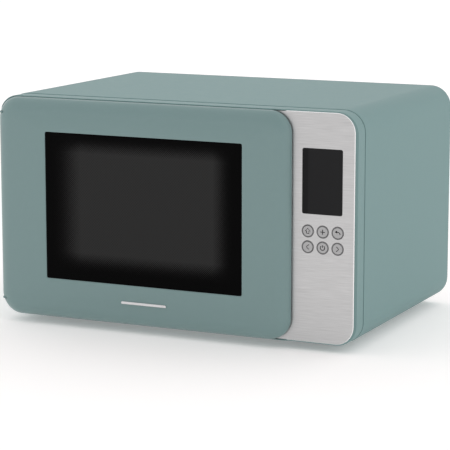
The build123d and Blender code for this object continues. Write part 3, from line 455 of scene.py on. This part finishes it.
rough = math_node(tree, "ADD", spread(tree, streaks, 0.28, 0.40), cloudy)
extra = math_node(tree, "MULTIPLY", flat, math_node(tree, "SUBTRACT", rough, BEVEL_ROUGH))
join(tree, math_node(tree, "ADD", BEVEL_ROUGH, extra), shader.inputs["Roughness"])
shader.inputs["Metallic"].default_value = 0.92
shader.inputs["Anisotropic"].default_value = 0.4
raise_surface(tree, shader, streaks, 0.004 * MM)
finishes["brushed_panel"] = material

# %% [markdown]
# ## Printed window glass
# The window is tinted glass with a black frit printed on its back: solid at the rim, then dots that shrink
# until the tint alone is left. The pane is opaque here, so a faint lattice in the tint stands for the screen
# behind it, and it reflects less than real glass under this dome. Each side has its own solid width and fade.
# The dots are a lattice turned by 45 degrees, and a dot's radius follows all four fades together.

# %% Make the window glass
FRIT_PITCH = 1.9 * MM
SCREEN_SEEN = 2.6 * MM
SOLID = {"left": 9.0 * MM, "right": 12.0 * MM, "top": 2.0 * MM, "bottom": 13.0 * MM}
FADE = {"left": 42.0 * MM, "right": 28.0 * MM, "top": 23.0 * MM, "bottom": 24.0 * MM}
FRIT_BLACK = (0.0008, 0.0008, 0.0009)
GLASS_TINT = (0.034, 0.034, 0.034)
DOT_FULL = 0.68
DOT_EDGE = 0.05


def lattice_radius(tree, x, z, pitch):
    """Distance from the middle of the nearest cell of a diagonal lattice, in cells."""
    parts = []
    for operation in ("ADD", "SUBTRACT"):
        turned = math_node(tree, "DIVIDE", math_node(tree, operation, x, z), pitch * math.sqrt(2))
        inside = math_node(tree, "SUBTRACT", math_node(tree, "FRACT", turned), 0.5)
        parts.append(math_node(tree, "MULTIPLY", inside, inside))
    return math_node(tree, "SQRT", math_node(tree, "ADD", parts[0], parts[1]))


material, tree, shader = node_material("printed_glass")
place = tree.nodes.new("ShaderNodeTexCoord")
axes = tree.nodes.new("ShaderNodeSeparateXYZ")
join(tree, place.outputs["Object"], axes.inputs[0])
x, z = axes.outputs["X"], axes.outputs["Z"]
distances = {
    "left": math_node(tree, "SUBTRACT", x, glass_low.x),
    "right": math_node(tree, "SUBTRACT", glass_high.x, x),
    "bottom": math_node(tree, "SUBTRACT", z, glass_low.z),
    "top": math_node(tree, "SUBTRACT", glass_high.z, z),
}
clear = 1.0
for side, distance in distances.items():
    opened = spread(tree, distance, 0.0, 1.0, SOLID[side], SOLID[side] + FADE[side])
    clear = math_node(tree, "MULTIPLY", opened, clear)
covered = math_node(tree, "SQRT", math_node(tree, "SUBTRACT", 1.0, clear))
printed = math_node(tree, "MULTIPLY", covered, DOT_FULL)
beyond_dot = math_node(tree, "SUBTRACT", lattice_radius(tree, x, z, FRIT_PITCH), printed)
bare = spread(tree, beyond_dot, 0.0, 1.0, -DOT_EDGE, DOT_EDGE)
mesh_dots = spread(tree, lattice_radius(tree, x, z, SCREEN_SEEN), 0.86, 1.0, 0.30, 0.40)
tint = two_tone(tree, mesh_dots, shade(GLASS_TINT, 0.74), shade(GLASS_TINT, 0.90), 0.86, 1.0)
mix = tree.nodes.new("ShaderNodeMix")
mix.data_type = "RGBA"
join(tree, bare, mix.inputs["Factor"])
mix.inputs["A"].default_value = (*FRIT_BLACK, 1)
join(tree, tint, mix.inputs["B"])
join(tree, mix.outputs["Result"], shader.inputs["Base Color"])
smear = noise(tree, object_place(tree), 14.0, 3.0)
join(tree, spread(tree, smear, 0.10, 0.16), shader.inputs["Roughness"])
shader.inputs["Specular IOR Level"].default_value = 0.03
finishes["dark_glass"] = material

# %% [markdown]
# ## Display lens, clear glass and lamp
# The display is a dark polished lens that is darker over a band on its left. The turntable and the door's
# inner pane are clear glass, which gets real transmission and the slight green of thick float glass.

# %% Make the lens and the clear glasses
material, tree, shader = node_material("display_lens")
lens_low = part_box("display_glass")[0]
place = tree.nodes.new("ShaderNodeTexCoord")
axes = tree.nodes.new("ShaderNodeSeparateXYZ")
join(tree, place.outputs["Object"], axes.inputs[0])
LENS_BAND = 7.0 * MM
LENS_LEFT_TONE = (0.004, 0.004, 0.004)
LENS_MAIN_TONE = (0.018, 0.018, 0.019)
# A band LENS_BAND wide on the lens's left is darker than the rest of the lens; the code only sets the two
# tones.
band_end = lens_low.x + LENS_BAND
beyond_band = spread(tree, axes.outputs["X"], 0.62, 1.0, band_end, band_end + 1.0 * MM)
join(tree, two_tone(tree, beyond_band, LENS_LEFT_TONE, LENS_MAIN_TONE, 0.0, 1.0), shader.inputs["Base Color"])
smear = noise(tree, object_place(tree), 40.0, 3.0)
join(tree, spread(tree, smear, 0.10, 0.18), shader.inputs["Roughness"])
shader.inputs["Specular IOR Level"].default_value = 0.06
finishes["display_black"] = material


def clear_pane(name, colour, roughness):
    """A see-through glass with slight ripples."""
    material, tree, shader = node_material(name)
    ripple = noise(tree, object_place(tree), 55.0, 2.0)
    join(tree, two_tone(tree, ripple, shade(colour, 0.97), colour), shader.inputs["Base Color"])
    join(tree, spread(tree, ripple, roughness, roughness + 0.03), shader.inputs["Roughness"])
    shader.inputs["Transmission Weight"].default_value = 0.92
    shader.inputs["IOR"].default_value = 1.46
    raise_surface(tree, shader, ripple, 0.02 * MM)
    return material


finishes["clear_glass"] = clear_pane("clear_glass", (0.90, 0.96, 0.94), 0.03)
finishes["lamp_glass"] = clear_pane("lamp_glass", (0.98, 0.95, 0.88), 0.05)

# %% [markdown]
# ## Finishes with a pattern
# Some finishes show how they are made. Hot-dip zinc freezes in angular spangles, which is a Voronoi pattern
# with one tone per cell. A transformer core is a stack of sheets, and its windings are rows of wire: both are
# fine bands. A circuit board has tracks, and mica has flakes.

# %% Make the patterned finishes
def spangled(name, colour, cell):
    """Zinc with angular crystals, one tone and one roughness each."""
    material, tree, shader = node_material(name)
    crystals = tree.nodes.new("ShaderNodeTexVoronoi")
    crystals.inputs["Scale"].default_value = 1.0 / cell
    join(tree, object_place(tree), crystals.inputs["Vector"])
    tone = tree.nodes.new("ShaderNodeSeparateXYZ")
    join(tree, crystals.outputs["Color"], tone.inputs[0])
    crystal_tone = two_tone(tree, tone.outputs["X"], shade(colour, 0.93), shade(colour, 1.05), 0.0, 1.0)
    join(tree, crystal_tone, shader.inputs["Base Color"])
    join(tree, spread(tree, tone.outputs["Y"], 0.32, 0.48, 0.0, 1.0), shader.inputs["Roughness"])
    shader.inputs["Metallic"].default_value = 0.9
    raise_surface(tree, shader, noise(tree, object_place(tree), 900.0), 0.003 * MM)
    return material


def banded(name, low, high, pitch, axis, metallic, roughness):
    """Fine parallel bands across one axis."""
    material, tree, shader = node_material(name)
    bands = tree.nodes.new("ShaderNodeTexWave")
    bands.bands_direction = axis
    bands.inputs["Scale"].default_value = 0.314 / pitch
    bands.inputs["Distortion"].default_value = 0.3
    join(tree, object_place(tree), bands.inputs["Vector"])
    join(tree, two_tone(tree, bands.outputs["Fac"], low, high, 0.1, 0.9), shader.inputs["Base Color"])
    rough = spread(tree, bands.outputs["Fac"], roughness, roughness + 0.15, 0.0, 1.0)
    join(tree, rough, shader.inputs["Roughness"])
    shader.inputs["Metallic"].default_value = metallic
    raise_surface(tree, shader, bands.outputs["Fac"], 0.05 * MM)
    return material


def celled(name, low, high, cell, roughness, specular):
    """Flakes or tracks: Voronoi cell edges over a base tone."""
    material, tree, shader = node_material(name)
    cells = tree.nodes.new("ShaderNodeTexVoronoi")
    cells.feature = "DISTANCE_TO_EDGE"
    cells.inputs["Scale"].default_value = 1.0 / cell
    join(tree, object_place(tree), cells.inputs["Vector"])
    edge = cells.outputs["Distance"]
    join(tree, two_tone(tree, edge, high, low, 0.05, 0.12), shader.inputs["Base Color"])
    join(tree, spread(tree, edge, roughness, roughness + 0.1, 0.0, 0.3), shader.inputs["Roughness"])
    shader.inputs["Specular IOR Level"].default_value = specular
    raise_surface(tree, shader, cells.outputs["Distance"], 0.02 * MM)
    return material


finishes["galvanised"] = spangled("spangled_zinc", (0.46, 0.47, 0.48), 4 * MM)
finishes["copper"] = banded("enamelled_wire", (0.30, 0.10, 0.04), (0.62, 0.27, 0.12), 1.1 * MM, "Z", 0.8, 0.3)
finishes["laminate"] = banded(
    "laminated_core", (0.050, 0.050, 0.055), (0.13, 0.13, 0.14), 0.7 * MM, "X", 0.5, 0.4
)
finishes["circuit_green"] = celled(
    "solder_mask", (0.010, 0.095, 0.035), (0.05, 0.22, 0.09), 5 * MM, 0.35, 0.5
)
finishes["mica"] = celled("mica_sheet", (0.46, 0.38, 0.26), (0.36, 0.29, 0.19), 7 * MM, 0.40, 0.4)
print("all finishes:", len(finishes))

# %% [markdown]
# ## Carving helper
# Notches and recesses are cut with a Boolean modifier, which is applied by taking the evaluated mesh. The
# cutter is deleted afterwards.

# %% Carve and grow helpers
def block(name, low, high):
    """A closed box between two corners, used as a cutter."""
    mesh = bmesh.new()
    spans = tuple(zip(low, high))
    corners = [mesh.verts.new((x, y, z)) for x in spans[0] for y in spans[1] for z in spans[2]]
    for face in ((0, 1, 3, 2), (4, 6, 7, 5), (0, 4, 5, 1), (2, 3, 7, 6), (0, 2, 6, 4), (1, 5, 7, 3)):
        mesh.faces.new([corners[i] for i in face])
    bmesh.ops.recalc_face_normals(mesh, faces=mesh.faces)
    data = bpy.data.meshes.new(name)
    mesh.to_mesh(data)
    mesh.free()
    return linked(name, data)


def carve(target, cutters):
    """Subtract closed cutters from a closed piece and delete them."""
    for cutter in cutters:
        modifier = target.modifiers.new("carve", "BOOLEAN")
        modifier.object = cutter
        modifier.solver = "EXACT"
        modifier.use_self = True
    bpy.context.view_layer.update()
    evaluated = target.evaluated_get(bpy.context.evaluated_depsgraph_get())
    result = bpy.data.meshes.new_from_object(evaluated)
    target.modifiers.clear()
    target.data = result
    for cutter in cutters:
        bpy.data.objects.remove(cutter)


def growing_tree(name, inputs):
    """A Geometry Nodes tree with named inputs; returns the tree and its two ends."""
    tree = bpy.data.node_groups.new(name, "GeometryNodeTree")
    tree.interface.new_socket("Geometry", in_out="INPUT", socket_type="NodeSocketGeometry")
    for label, kind in inputs:
        tree.interface.new_socket(label, in_out="INPUT", socket_type="NodeSocket" + kind)
    tree.interface.new_socket("Geometry", in_out="OUTPUT", socket_type="NodeSocketGeometry")
    return tree, tree.nodes.new("NodeGroupInput"), tree.nodes.new("NodeGroupOutput")


def end_tree(tree, geometry, start, end):
    """Realize Instances and Set Material, then the output."""
    realize = tree.nodes.new("GeometryNodeRealizeInstances")
    join(tree, geometry, realize.inputs[0])
    dress = tree.nodes.new("GeometryNodeSetMaterial")
    join(tree, realize.outputs[0], dress.inputs["Geometry"])
    join(tree, start.outputs["Finish"], dress.inputs["Material"])
    join(tree, dress.outputs[0], end.inputs[0])


def grow(name, tree, seed, values):
    """Run a tree on a seed mesh with given input values and keep the result as a plain mesh object."""
    maker = linked(name + "_maker", seed)
    modifier = maker.modifiers.new("grow", "NODES")
    modifier.node_group = tree
    for item in tree.interface.items_tree:
        if item.item_type == "SOCKET" and item.in_out == "INPUT" and item.name in values:
            modifier[item.identifier] = values[item.name]
    bpy.context.view_layer.update()
    evaluated = maker.evaluated_get(bpy.context.evaluated_depsgraph_get())
    result = bpy.data.meshes.new_from_object(evaluated)
    result.name = name
    maker.modifiers.clear()
    bpy.data.objects.remove(maker)
    print(name, "faces:", len(result.polygons))
    return linked(name, result)


def point_cloud(name, points):
    """A mesh of loose points, the seed for things that repeat at known places."""
    data = bpy.data.meshes.new(name)
    data.from_pydata(points, [], [])
    return data


# %% [markdown]
# ## Notches in the door
# Two slits near the left edge let the hinge arms reach the pins, and a finger recess is scooped out behind
# the free edge, so the door can be pulled open without a handle.

# %% Cut the notches and the finger recess
NOTCH_HALF = 1.4 * MM
GRIP = (100.0 * MM, 210.0 * MM)
GRIP_SIDES = (16.0 * MM, 5.0 * MM)
GRIP_DEPTH = 6.0 * MM
cutters = []
for hinge, pin_side in (("hinge_top", -1), ("hinge_bottom", 1)):
    hinge_low, hinge_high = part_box(hinge)
    arm_z = hinge_high.z - 1.0 * MM if pin_side < 0 else hinge_low.z + 1.0 * MM
    cutters.append(block(
        hinge + "_slit", (door_low.x - 5 * MM, hinge_low.y - 1.0 * MM, arm_z - NOTCH_HALF),
        (hinge_low.x + 8.4 * MM, back + 5 * MM, arm_z + NOTCH_HALF),
    ))
cutters.append(block(
    "grip_pocket", (door_high.x - GRIP_SIDES[0], back - GRIP_DEPTH, GRIP[0]),
    (door_high.x - GRIP_SIDES[1], back + 5 * MM, GRIP[1]),
))
carve(door_shell, cutters)
door_shell.data.materials.clear()
door_shell.data.materials.append(finishes["door_paint"])
for polygon in door_shell.data.polygons:
    polygon.use_smooth = True
door_shell.data.set_sharp_from_angle(angle=math.radians(35))
print("door shell faces after carving:", len(door_shell.data.polygons))

# %% [markdown]
# ## Marks on the keys
# Each key carries one small dark mark: a house, a plus, a bent return arrow, an arrow to the left, the power
# sign and an arrow to the right. A mark is a pad-printed stroke a few hundredths of a millimetre thick. The
# strokes are drawn as lines in the plane of the key, and a Geometry Nodes tree sweeps a flat strip along them.

# %% Draw and print the key marks
key_ink = wandering("key_ink", (0.010, 0.010, 0.011), 0.1, (0.6, 0.7), 0.4 * MM, 0.001 * MM, specular=0.1)
stroke_tree, start, end = growing_tree("key_mark", [
    ("Stroke", "Float"), ("Thickness", "Float"), ("Turn", "Vector"), ("Place", "Vector"),
    ("Finish", "Material"),
])
to_curve = stroke_tree.nodes.new("GeometryNodeMeshToCurve")
join(stroke_tree, start.outputs["Geometry"], to_curve.inputs[0])
upright = stroke_tree.nodes.new("GeometryNodeSetCurveNormal")
if "Mode" in upright.inputs:
    upright.inputs["Mode"].default_value = "Z Up"
else:
    upright.mode = "Z_UP"
join(stroke_tree, to_curve.outputs[0], upright.inputs["Curve"])
strip = stroke_tree.nodes.new("GeometryNodeCurvePrimitiveQuadrilateral")
join(stroke_tree, start.outputs["Stroke"], strip.inputs["Width"])
join(stroke_tree, start.outputs["Thickness"], strip.inputs["Height"])
swept = stroke_tree.nodes.new("GeometryNodeCurveToMesh")
swept.inputs["Fill Caps"].default_value = True
join(stroke_tree, upright.outputs[0], swept.inputs["Curve"])
join(stroke_tree, strip.outputs[0], swept.inputs["Profile Curve"])
stand = stroke_tree.nodes.new("GeometryNodeTransform")
join(stroke_tree, swept.outputs[0], stand.inputs["Geometry"])
join(stroke_tree, start.outputs["Turn"], stand.inputs["Rotation"])
join(stroke_tree, start.outputs["Place"], stand.inputs["Translation"])
end_tree(stroke_tree, stand.outputs[0], start, end)


def arc_points(radius, first, last, steps, middle=(0.0, 0.0)):
    """Points along an arc, in millimetres, angles in degrees."""
    made = []
    for step in range(steps + 1):
        angle = math.radians(first + (last - first) * step / steps)
        made.append((middle[0] + radius * math.cos(angle), middle[1] + radius * math.sin(angle)))
    return made


MARKS = {
    "home": [[
        (-1.2, 0.1), (-2.5, 0.1), (0, 2.5), (2.5, 0.1), (1.2, 0.1), (1.2, -2.1), (-1.2, -2.1), (-1.2, 0.1),
    ]],
    "plus": [[(-2.3, 0), (2.3, 0)], [(0, -2.3), (0, 2.3)]],
    "back": [
        [(-0.7, 2.1), (-2.4, 1.0), (-0.7, -0.1), (-0.9, 2.0)],
        [(-2.0, 1.0), (0.2, 1.0)] + arc_points(2.3, 85, 0, 6, (0.1, -1.3)),
    ],
    "previous": [[(1.1, 2.2), (-1.3, 0), (1.1, -2.2)]],
    "power": [arc_points(2.1, 125, 415, 18), [(0, 0.3), (0, 2.5)]],
    "next": [[(-1.1, 2.2), (1.3, 0), (-1.1, -2.2)]],
}
STROKE = 0.95 * MM
MARK_SCALE = 1.35
INK_THICK = 0.06 * MM
INK_PROUD = 0.45
for key, strokes in MARKS.items():
    cap_low, cap_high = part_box("button_" + key)
    middle = (cap_low + cap_high) / 2
    points, edges = [], []
    for stroke in strokes:
        first = len(points)
        points.extend((px * MARK_SCALE * MM, pz * MARK_SCALE * MM, 0.0) for px, pz in stroke)
        edges.extend((first + i, first + i + 1) for i in range(len(stroke) - 1))
    lines = bpy.data.meshes.new("mark_lines_" + key)
    lines.from_pydata(points, edges, [])
    mark = grow("key_mark_" + key, stroke_tree, lines, {
        "Stroke": STROKE, "Thickness": INK_THICK, "Turn": (math.radians(90), 0.0, 0.0),
        "Place": (middle.x, cap_low.y - INK_THICK * INK_PROUD, middle.z),
        "Finish": key_ink,
    })
    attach(mark, "key_" + key)

# %% [markdown]
# ## Screws on the back
# Six zinc-plated pan-head screws hold the back panel. The head is turned as a domed profile and the cross
# recess is cut from it. One head is made, and a Geometry Nodes tree sets a copy at every screw's place.

# %% Make one screw head and repeat it
def lathe(name, profile, steps, axis="Y"):
    """A closed turned form. The profile is (radius, height) from the axis round to the axis again."""
    mesh = bmesh.new()
    loops = []
    for radius, height in profile:
        loop = []
        for step in range(steps):
            angle = 2 * math.pi * step / steps
            u, v = radius * math.cos(angle), radius * math.sin(angle)
            loop.append(mesh.verts.new((u, height, v) if axis == "Y" else (u, v, height)))
        loops.append(loop)
    for first, second in zip(loops, loops[1:]):
        for i in range(steps):
            j = (i + 1) % steps
            mesh.faces.new((first[i], first[j], second[j], second[i]))
    bmesh.ops.remove_doubles(mesh, verts=mesh.verts, dist=1e-7)
    bmesh.ops.recalc_face_normals(mesh, faces=mesh.faces)
    data = bpy.data.meshes.new(name)
    mesh.to_mesh(data)
    mesh.free()
    for polygon in data.polygons:
        polygon.use_smooth = True
    return linked(name, data)


screw_low, screw_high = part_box("rear_screws")
HEAD_RADIUS = 4.0 * MM
HEAD_HIGH = 2.2 * MM
SHANK_RADIUS = 1.9 * MM
head_under = screw_high.y - HEAD_HIGH
SHANK_LONG = head_under - screw_low.y
profile = [(0.0, -SHANK_LONG), (SHANK_RADIUS * 0.7, -SHANK_LONG), (SHANK_RADIUS, -SHANK_LONG + 1.0 * MM)]
profile += [(SHANK_RADIUS, 0.0), (HEAD_RADIUS, 0.0), (HEAD_RADIUS, HEAD_HIGH * 0.4)]
for step in range(1, 6):
    angle = math.radians(90 * step / 6)
    profile.append((HEAD_RADIUS * math.cos(angle), HEAD_HIGH * (0.4 + 0.6 * math.sin(angle))))
profile.append((0.0, HEAD_HIGH))
screw_head = lathe("screw_head", profile, 28)
RECESS_HALF = 0.5 * MM
RECESS_REACH = 2.3 * MM
RECESS_FLOOR = HEAD_HIGH - 1.3 * MM
recess_top = HEAD_HIGH + 1.0 * MM
carve(screw_head, [
    block(name, (-across, RECESS_FLOOR, -along), (across, recess_top, along))
    for name, across, along in (
        ("recess_a", RECESS_REACH, RECESS_HALF), ("recess_b", RECESS_HALF, RECESS_REACH),
    )
])
screw_tree, start, end = growing_tree("repeat_at_points", [("Piece", "Object"), ("Finish", "Material")])
pick = screw_tree.nodes.new("GeometryNodeObjectInfo")
join(screw_tree, start.outputs["Piece"], pick.inputs["Object"])
scatter = screw_tree.nodes.new("GeometryNodeInstanceOnPoints")
join(screw_tree, start.outputs["Geometry"], scatter.inputs["Points"])
join(screw_tree, pick.outputs["Geometry"], scatter.inputs["Instance"])
end_tree(screw_tree, scatter.outputs[0], start, end)

side_x = screw_high.x - HEAD_RADIUS
top_z = screw_high.z - HEAD_RADIUS
SIDE_SCREWS = (80 * MM, 225 * MM)
TOP_SCREWS = (-120 * MM, 120 * MM)
screw_places = [(sx * side_x, head_under, sz) for sx in (-1, 1) for sz in SIDE_SCREWS]
screw_places += [(sx, head_under, top_z) for sx in TOP_SCREWS]
screws = grow("back_screws", screw_tree, point_cloud("screw_places", screw_places), {
    "Piece": screw_head, "Finish": finishes["zinc_screw"],
})
bpy.data.objects.remove(screw_head)
screws.data.set_sharp_from_angle(angle=math.radians(35))
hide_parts("rear_screws")
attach(screws, "casing")

# %% [markdown]
# ## Perforated screen
# Behind the window a steel sheet with a close grid of round holes keeps the microwaves in and lets the eye
# look through. One cell is a square with a round hole, filled as a flat shape. The tree repeats the cell on a
# grid, welds the joints, gives the sheet its thickness, and closes its back.

# %% Grow the perforated screen
SCREEN_PITCH = 4.2 * MM
HOLE_SHARE = 0.34
HOLE_CORNERS = 8
WELD = 0.02 * MM
screen_low, screen_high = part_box("door_screen")
screen_tree, start, end = growing_tree("perforated_sheet", [
    ("Pitch", "Float"), ("Hole Radius", "Float"), ("Width", "Float"), ("Height", "Float"), ("Columns", "Int"),
    ("Rows", "Int"), ("Thickness", "Float"), ("Turn", "Vector"), ("Place", "Vector"), ("Finish", "Material"),
])
cell = screen_tree.nodes.new("GeometryNodeCurvePrimitiveQuadrilateral")
join(screen_tree, start.outputs["Pitch"], cell.inputs["Width"])
join(screen_tree, start.outputs["Pitch"], cell.inputs["Height"])
hole = screen_tree.nodes.new("GeometryNodeCurvePrimitiveCircle")
hole.inputs["Resolution"].default_value = HOLE_CORNERS
join(screen_tree, start.outputs["Hole Radius"], hole.inputs["Radius"])
outline = screen_tree.nodes.new("GeometryNodeJoinGeometry")
join(screen_tree, cell.outputs[0], outline.inputs[0])
join(screen_tree, hole.outputs[0], outline.inputs[0])
filled = screen_tree.nodes.new("GeometryNodeFillCurve")
join(screen_tree, outline.outputs[0], filled.inputs["Curve"])
grid = screen_tree.nodes.new("GeometryNodeMeshGrid")
join(screen_tree, start.outputs["Width"], grid.inputs["Size X"])
join(screen_tree, start.outputs["Height"], grid.inputs["Size Y"])
join(screen_tree, start.outputs["Columns"], grid.inputs["Vertices X"])
join(screen_tree, start.outputs["Rows"], grid.inputs["Vertices Y"])
cells = screen_tree.nodes.new("GeometryNodeInstanceOnPoints")
join(screen_tree, grid.outputs[0], cells.inputs["Points"])
join(screen_tree, filled.outputs[0], cells.inputs["Instance"])
sheet = screen_tree.nodes.new("GeometryNodeRealizeInstances")
join(screen_tree, cells.outputs[0], sheet.inputs[0])
weld = screen_tree.nodes.new("GeometryNodeMergeByDistance")
weld.inputs["Distance"].default_value = WELD
join(screen_tree, sheet.outputs[0], weld.inputs[0])
thicken = screen_tree.nodes.new("GeometryNodeExtrudeMesh")
thicken.inputs["Individual"].default_value = False
join(screen_tree, weld.outputs[0], thicken.inputs["Mesh"])
join(screen_tree, start.outputs["Thickness"], thicken.inputs["Offset Scale"])
turned = screen_tree.nodes.new("GeometryNodeFlipFaces")
join(screen_tree, weld.outputs[0], turned.inputs[0])
closed_sheet = screen_tree.nodes.new("GeometryNodeJoinGeometry")
join(screen_tree, thicken.outputs[0], closed_sheet.inputs[0])
join(screen_tree, turned.outputs[0], closed_sheet.inputs[0])
weld_again = screen_tree.nodes.new("GeometryNodeMergeByDistance")
weld_again.inputs["Distance"].default_value = WELD
join(screen_tree, closed_sheet.outputs[0], weld_again.inputs[0])
stand = screen_tree.nodes.new("GeometryNodeTransform")
join(screen_tree, weld_again.outputs[0], stand.inputs["Geometry"])
join(screen_tree, start.outputs["Turn"], stand.inputs["Rotation"])
join(screen_tree, start.outputs["Place"], stand.inputs["Translation"])
end_tree(screen_tree, stand.outputs[0], start, end)

columns = int((screen_high.x - screen_low.x) / SCREEN_PITCH)
rows = int((screen_high.z - screen_low.z) / SCREEN_PITCH)
screen = grow("perforated_screen", screen_tree, point_cloud("screen_seed", [(0, 0, 0)]), {
    "Pitch": SCREEN_PITCH, "Hole Radius": SCREEN_PITCH * HOLE_SHARE, "Width": (columns - 1) * SCREEN_PITCH,
    "Height": (rows - 1) * SCREEN_PITCH, "Columns": columns, "Rows": rows,
    "Thickness": screen_high.y - screen_low.y, "Turn": (math.radians(90), 0.0, 0.0),
    "Place": ((screen_low.x + screen_high.x) / 2, screen_high.y, (screen_low.z + screen_high.z) / 2),
    "Finish": finishes["screen_steel"],
})
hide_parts("door_screen")
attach(screen, "door")

# %% [markdown]
# ## Glass turntable
# The turntable is pressed glass: a flat middle that rises smoothly to a rounded rim. A turned profile gives
# all of that, with two faint pressed rings that stiffen the plate.

# %% Turn the glass tray
tray_low, tray_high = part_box("glass_tray")
tray_middle = (tray_low + tray_high) / 2
TRAY_RADIUS = (tray_high.x - tray_low.x) / 2
HUB_HOLE = 10.0 * MM
RIM_RISE = tray_high.z - tray_low.z
PLATE = 5.0 * MM
SLOPE_INSET = 24.0 * MM
SLOPE_WIDE = 21.0 * MM
RIM_ROUND = 2.0 * MM
PRESSED_RING = 0.25 * MM
upper = [(HUB_HOLE, PLATE * 0.72)]
for share in [i / 36 for i in range(1, 37)]:
    radius = HUB_HOLE + (TRAY_RADIUS - SLOPE_INSET - HUB_HOLE) * share
    ring_wave = PRESSED_RING * math.cos(4 * math.pi * share)
    upper.append((radius, PLATE - 0.45 * MM + ring_wave * 0.5))
for step in range(1, 9):
    share = step / 8
    rise = share * share * (3 - 2 * share)
    height = PLATE - 0.3 * MM + (RIM_RISE - PLATE) * rise * 0.9
    upper.append((TRAY_RADIUS - SLOPE_INSET + SLOPE_WIDE * share, height))
rim = []
for turn in range(100, -61, -20):
    angle = math.radians(turn)
    radius = TRAY_RADIUS - RIM_ROUND + RIM_ROUND * math.cos(angle)
    rim.append((radius, RIM_RISE - RIM_ROUND + RIM_ROUND * math.sin(angle)))
lower = []
for step in range(8, -1, -1):
    share = step / 8
    rise = share * share * (3 - 2 * share)
    lower.append((TRAY_RADIUS - 21 * MM + 19 * MM * share, (RIM_RISE - 5.0 * MM) * rise))
lower.append((HUB_HOLE, 0.0))
tray_profile = [(r, tray_low.z + h) for r, h in upper + rim + lower]
tray_profile.append(tray_profile[0])
glass_plate = lathe("turntable_glass", tray_profile, 96, axis="Z")
for vertex in glass_plate.data.vertices:
    vertex.co.x += tray_middle.x
    vertex.co.y += tray_middle.y
glass_plate.data.materials.append(finishes["clear_glass"])
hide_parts("glass_tray")
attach(glass_plate, "tray")
print("turntable glass:", round(2 * TRAY_RADIUS / MM), "mm across")

# %% [markdown]
# ## Dress the mechanical pieces
# Every other piece keeps its mechanical shape and gets the finish that the record names for it.

# %% Assign the finishes
slot_of = {row["node"]: row["material_slot"] for row in frame["record"]["subparts"]}
for name, node in nodes.items():
    node.data.materials.clear()
    node.data.materials.append(finishes[slot_of[name]])
print("dressed:", len(nodes))
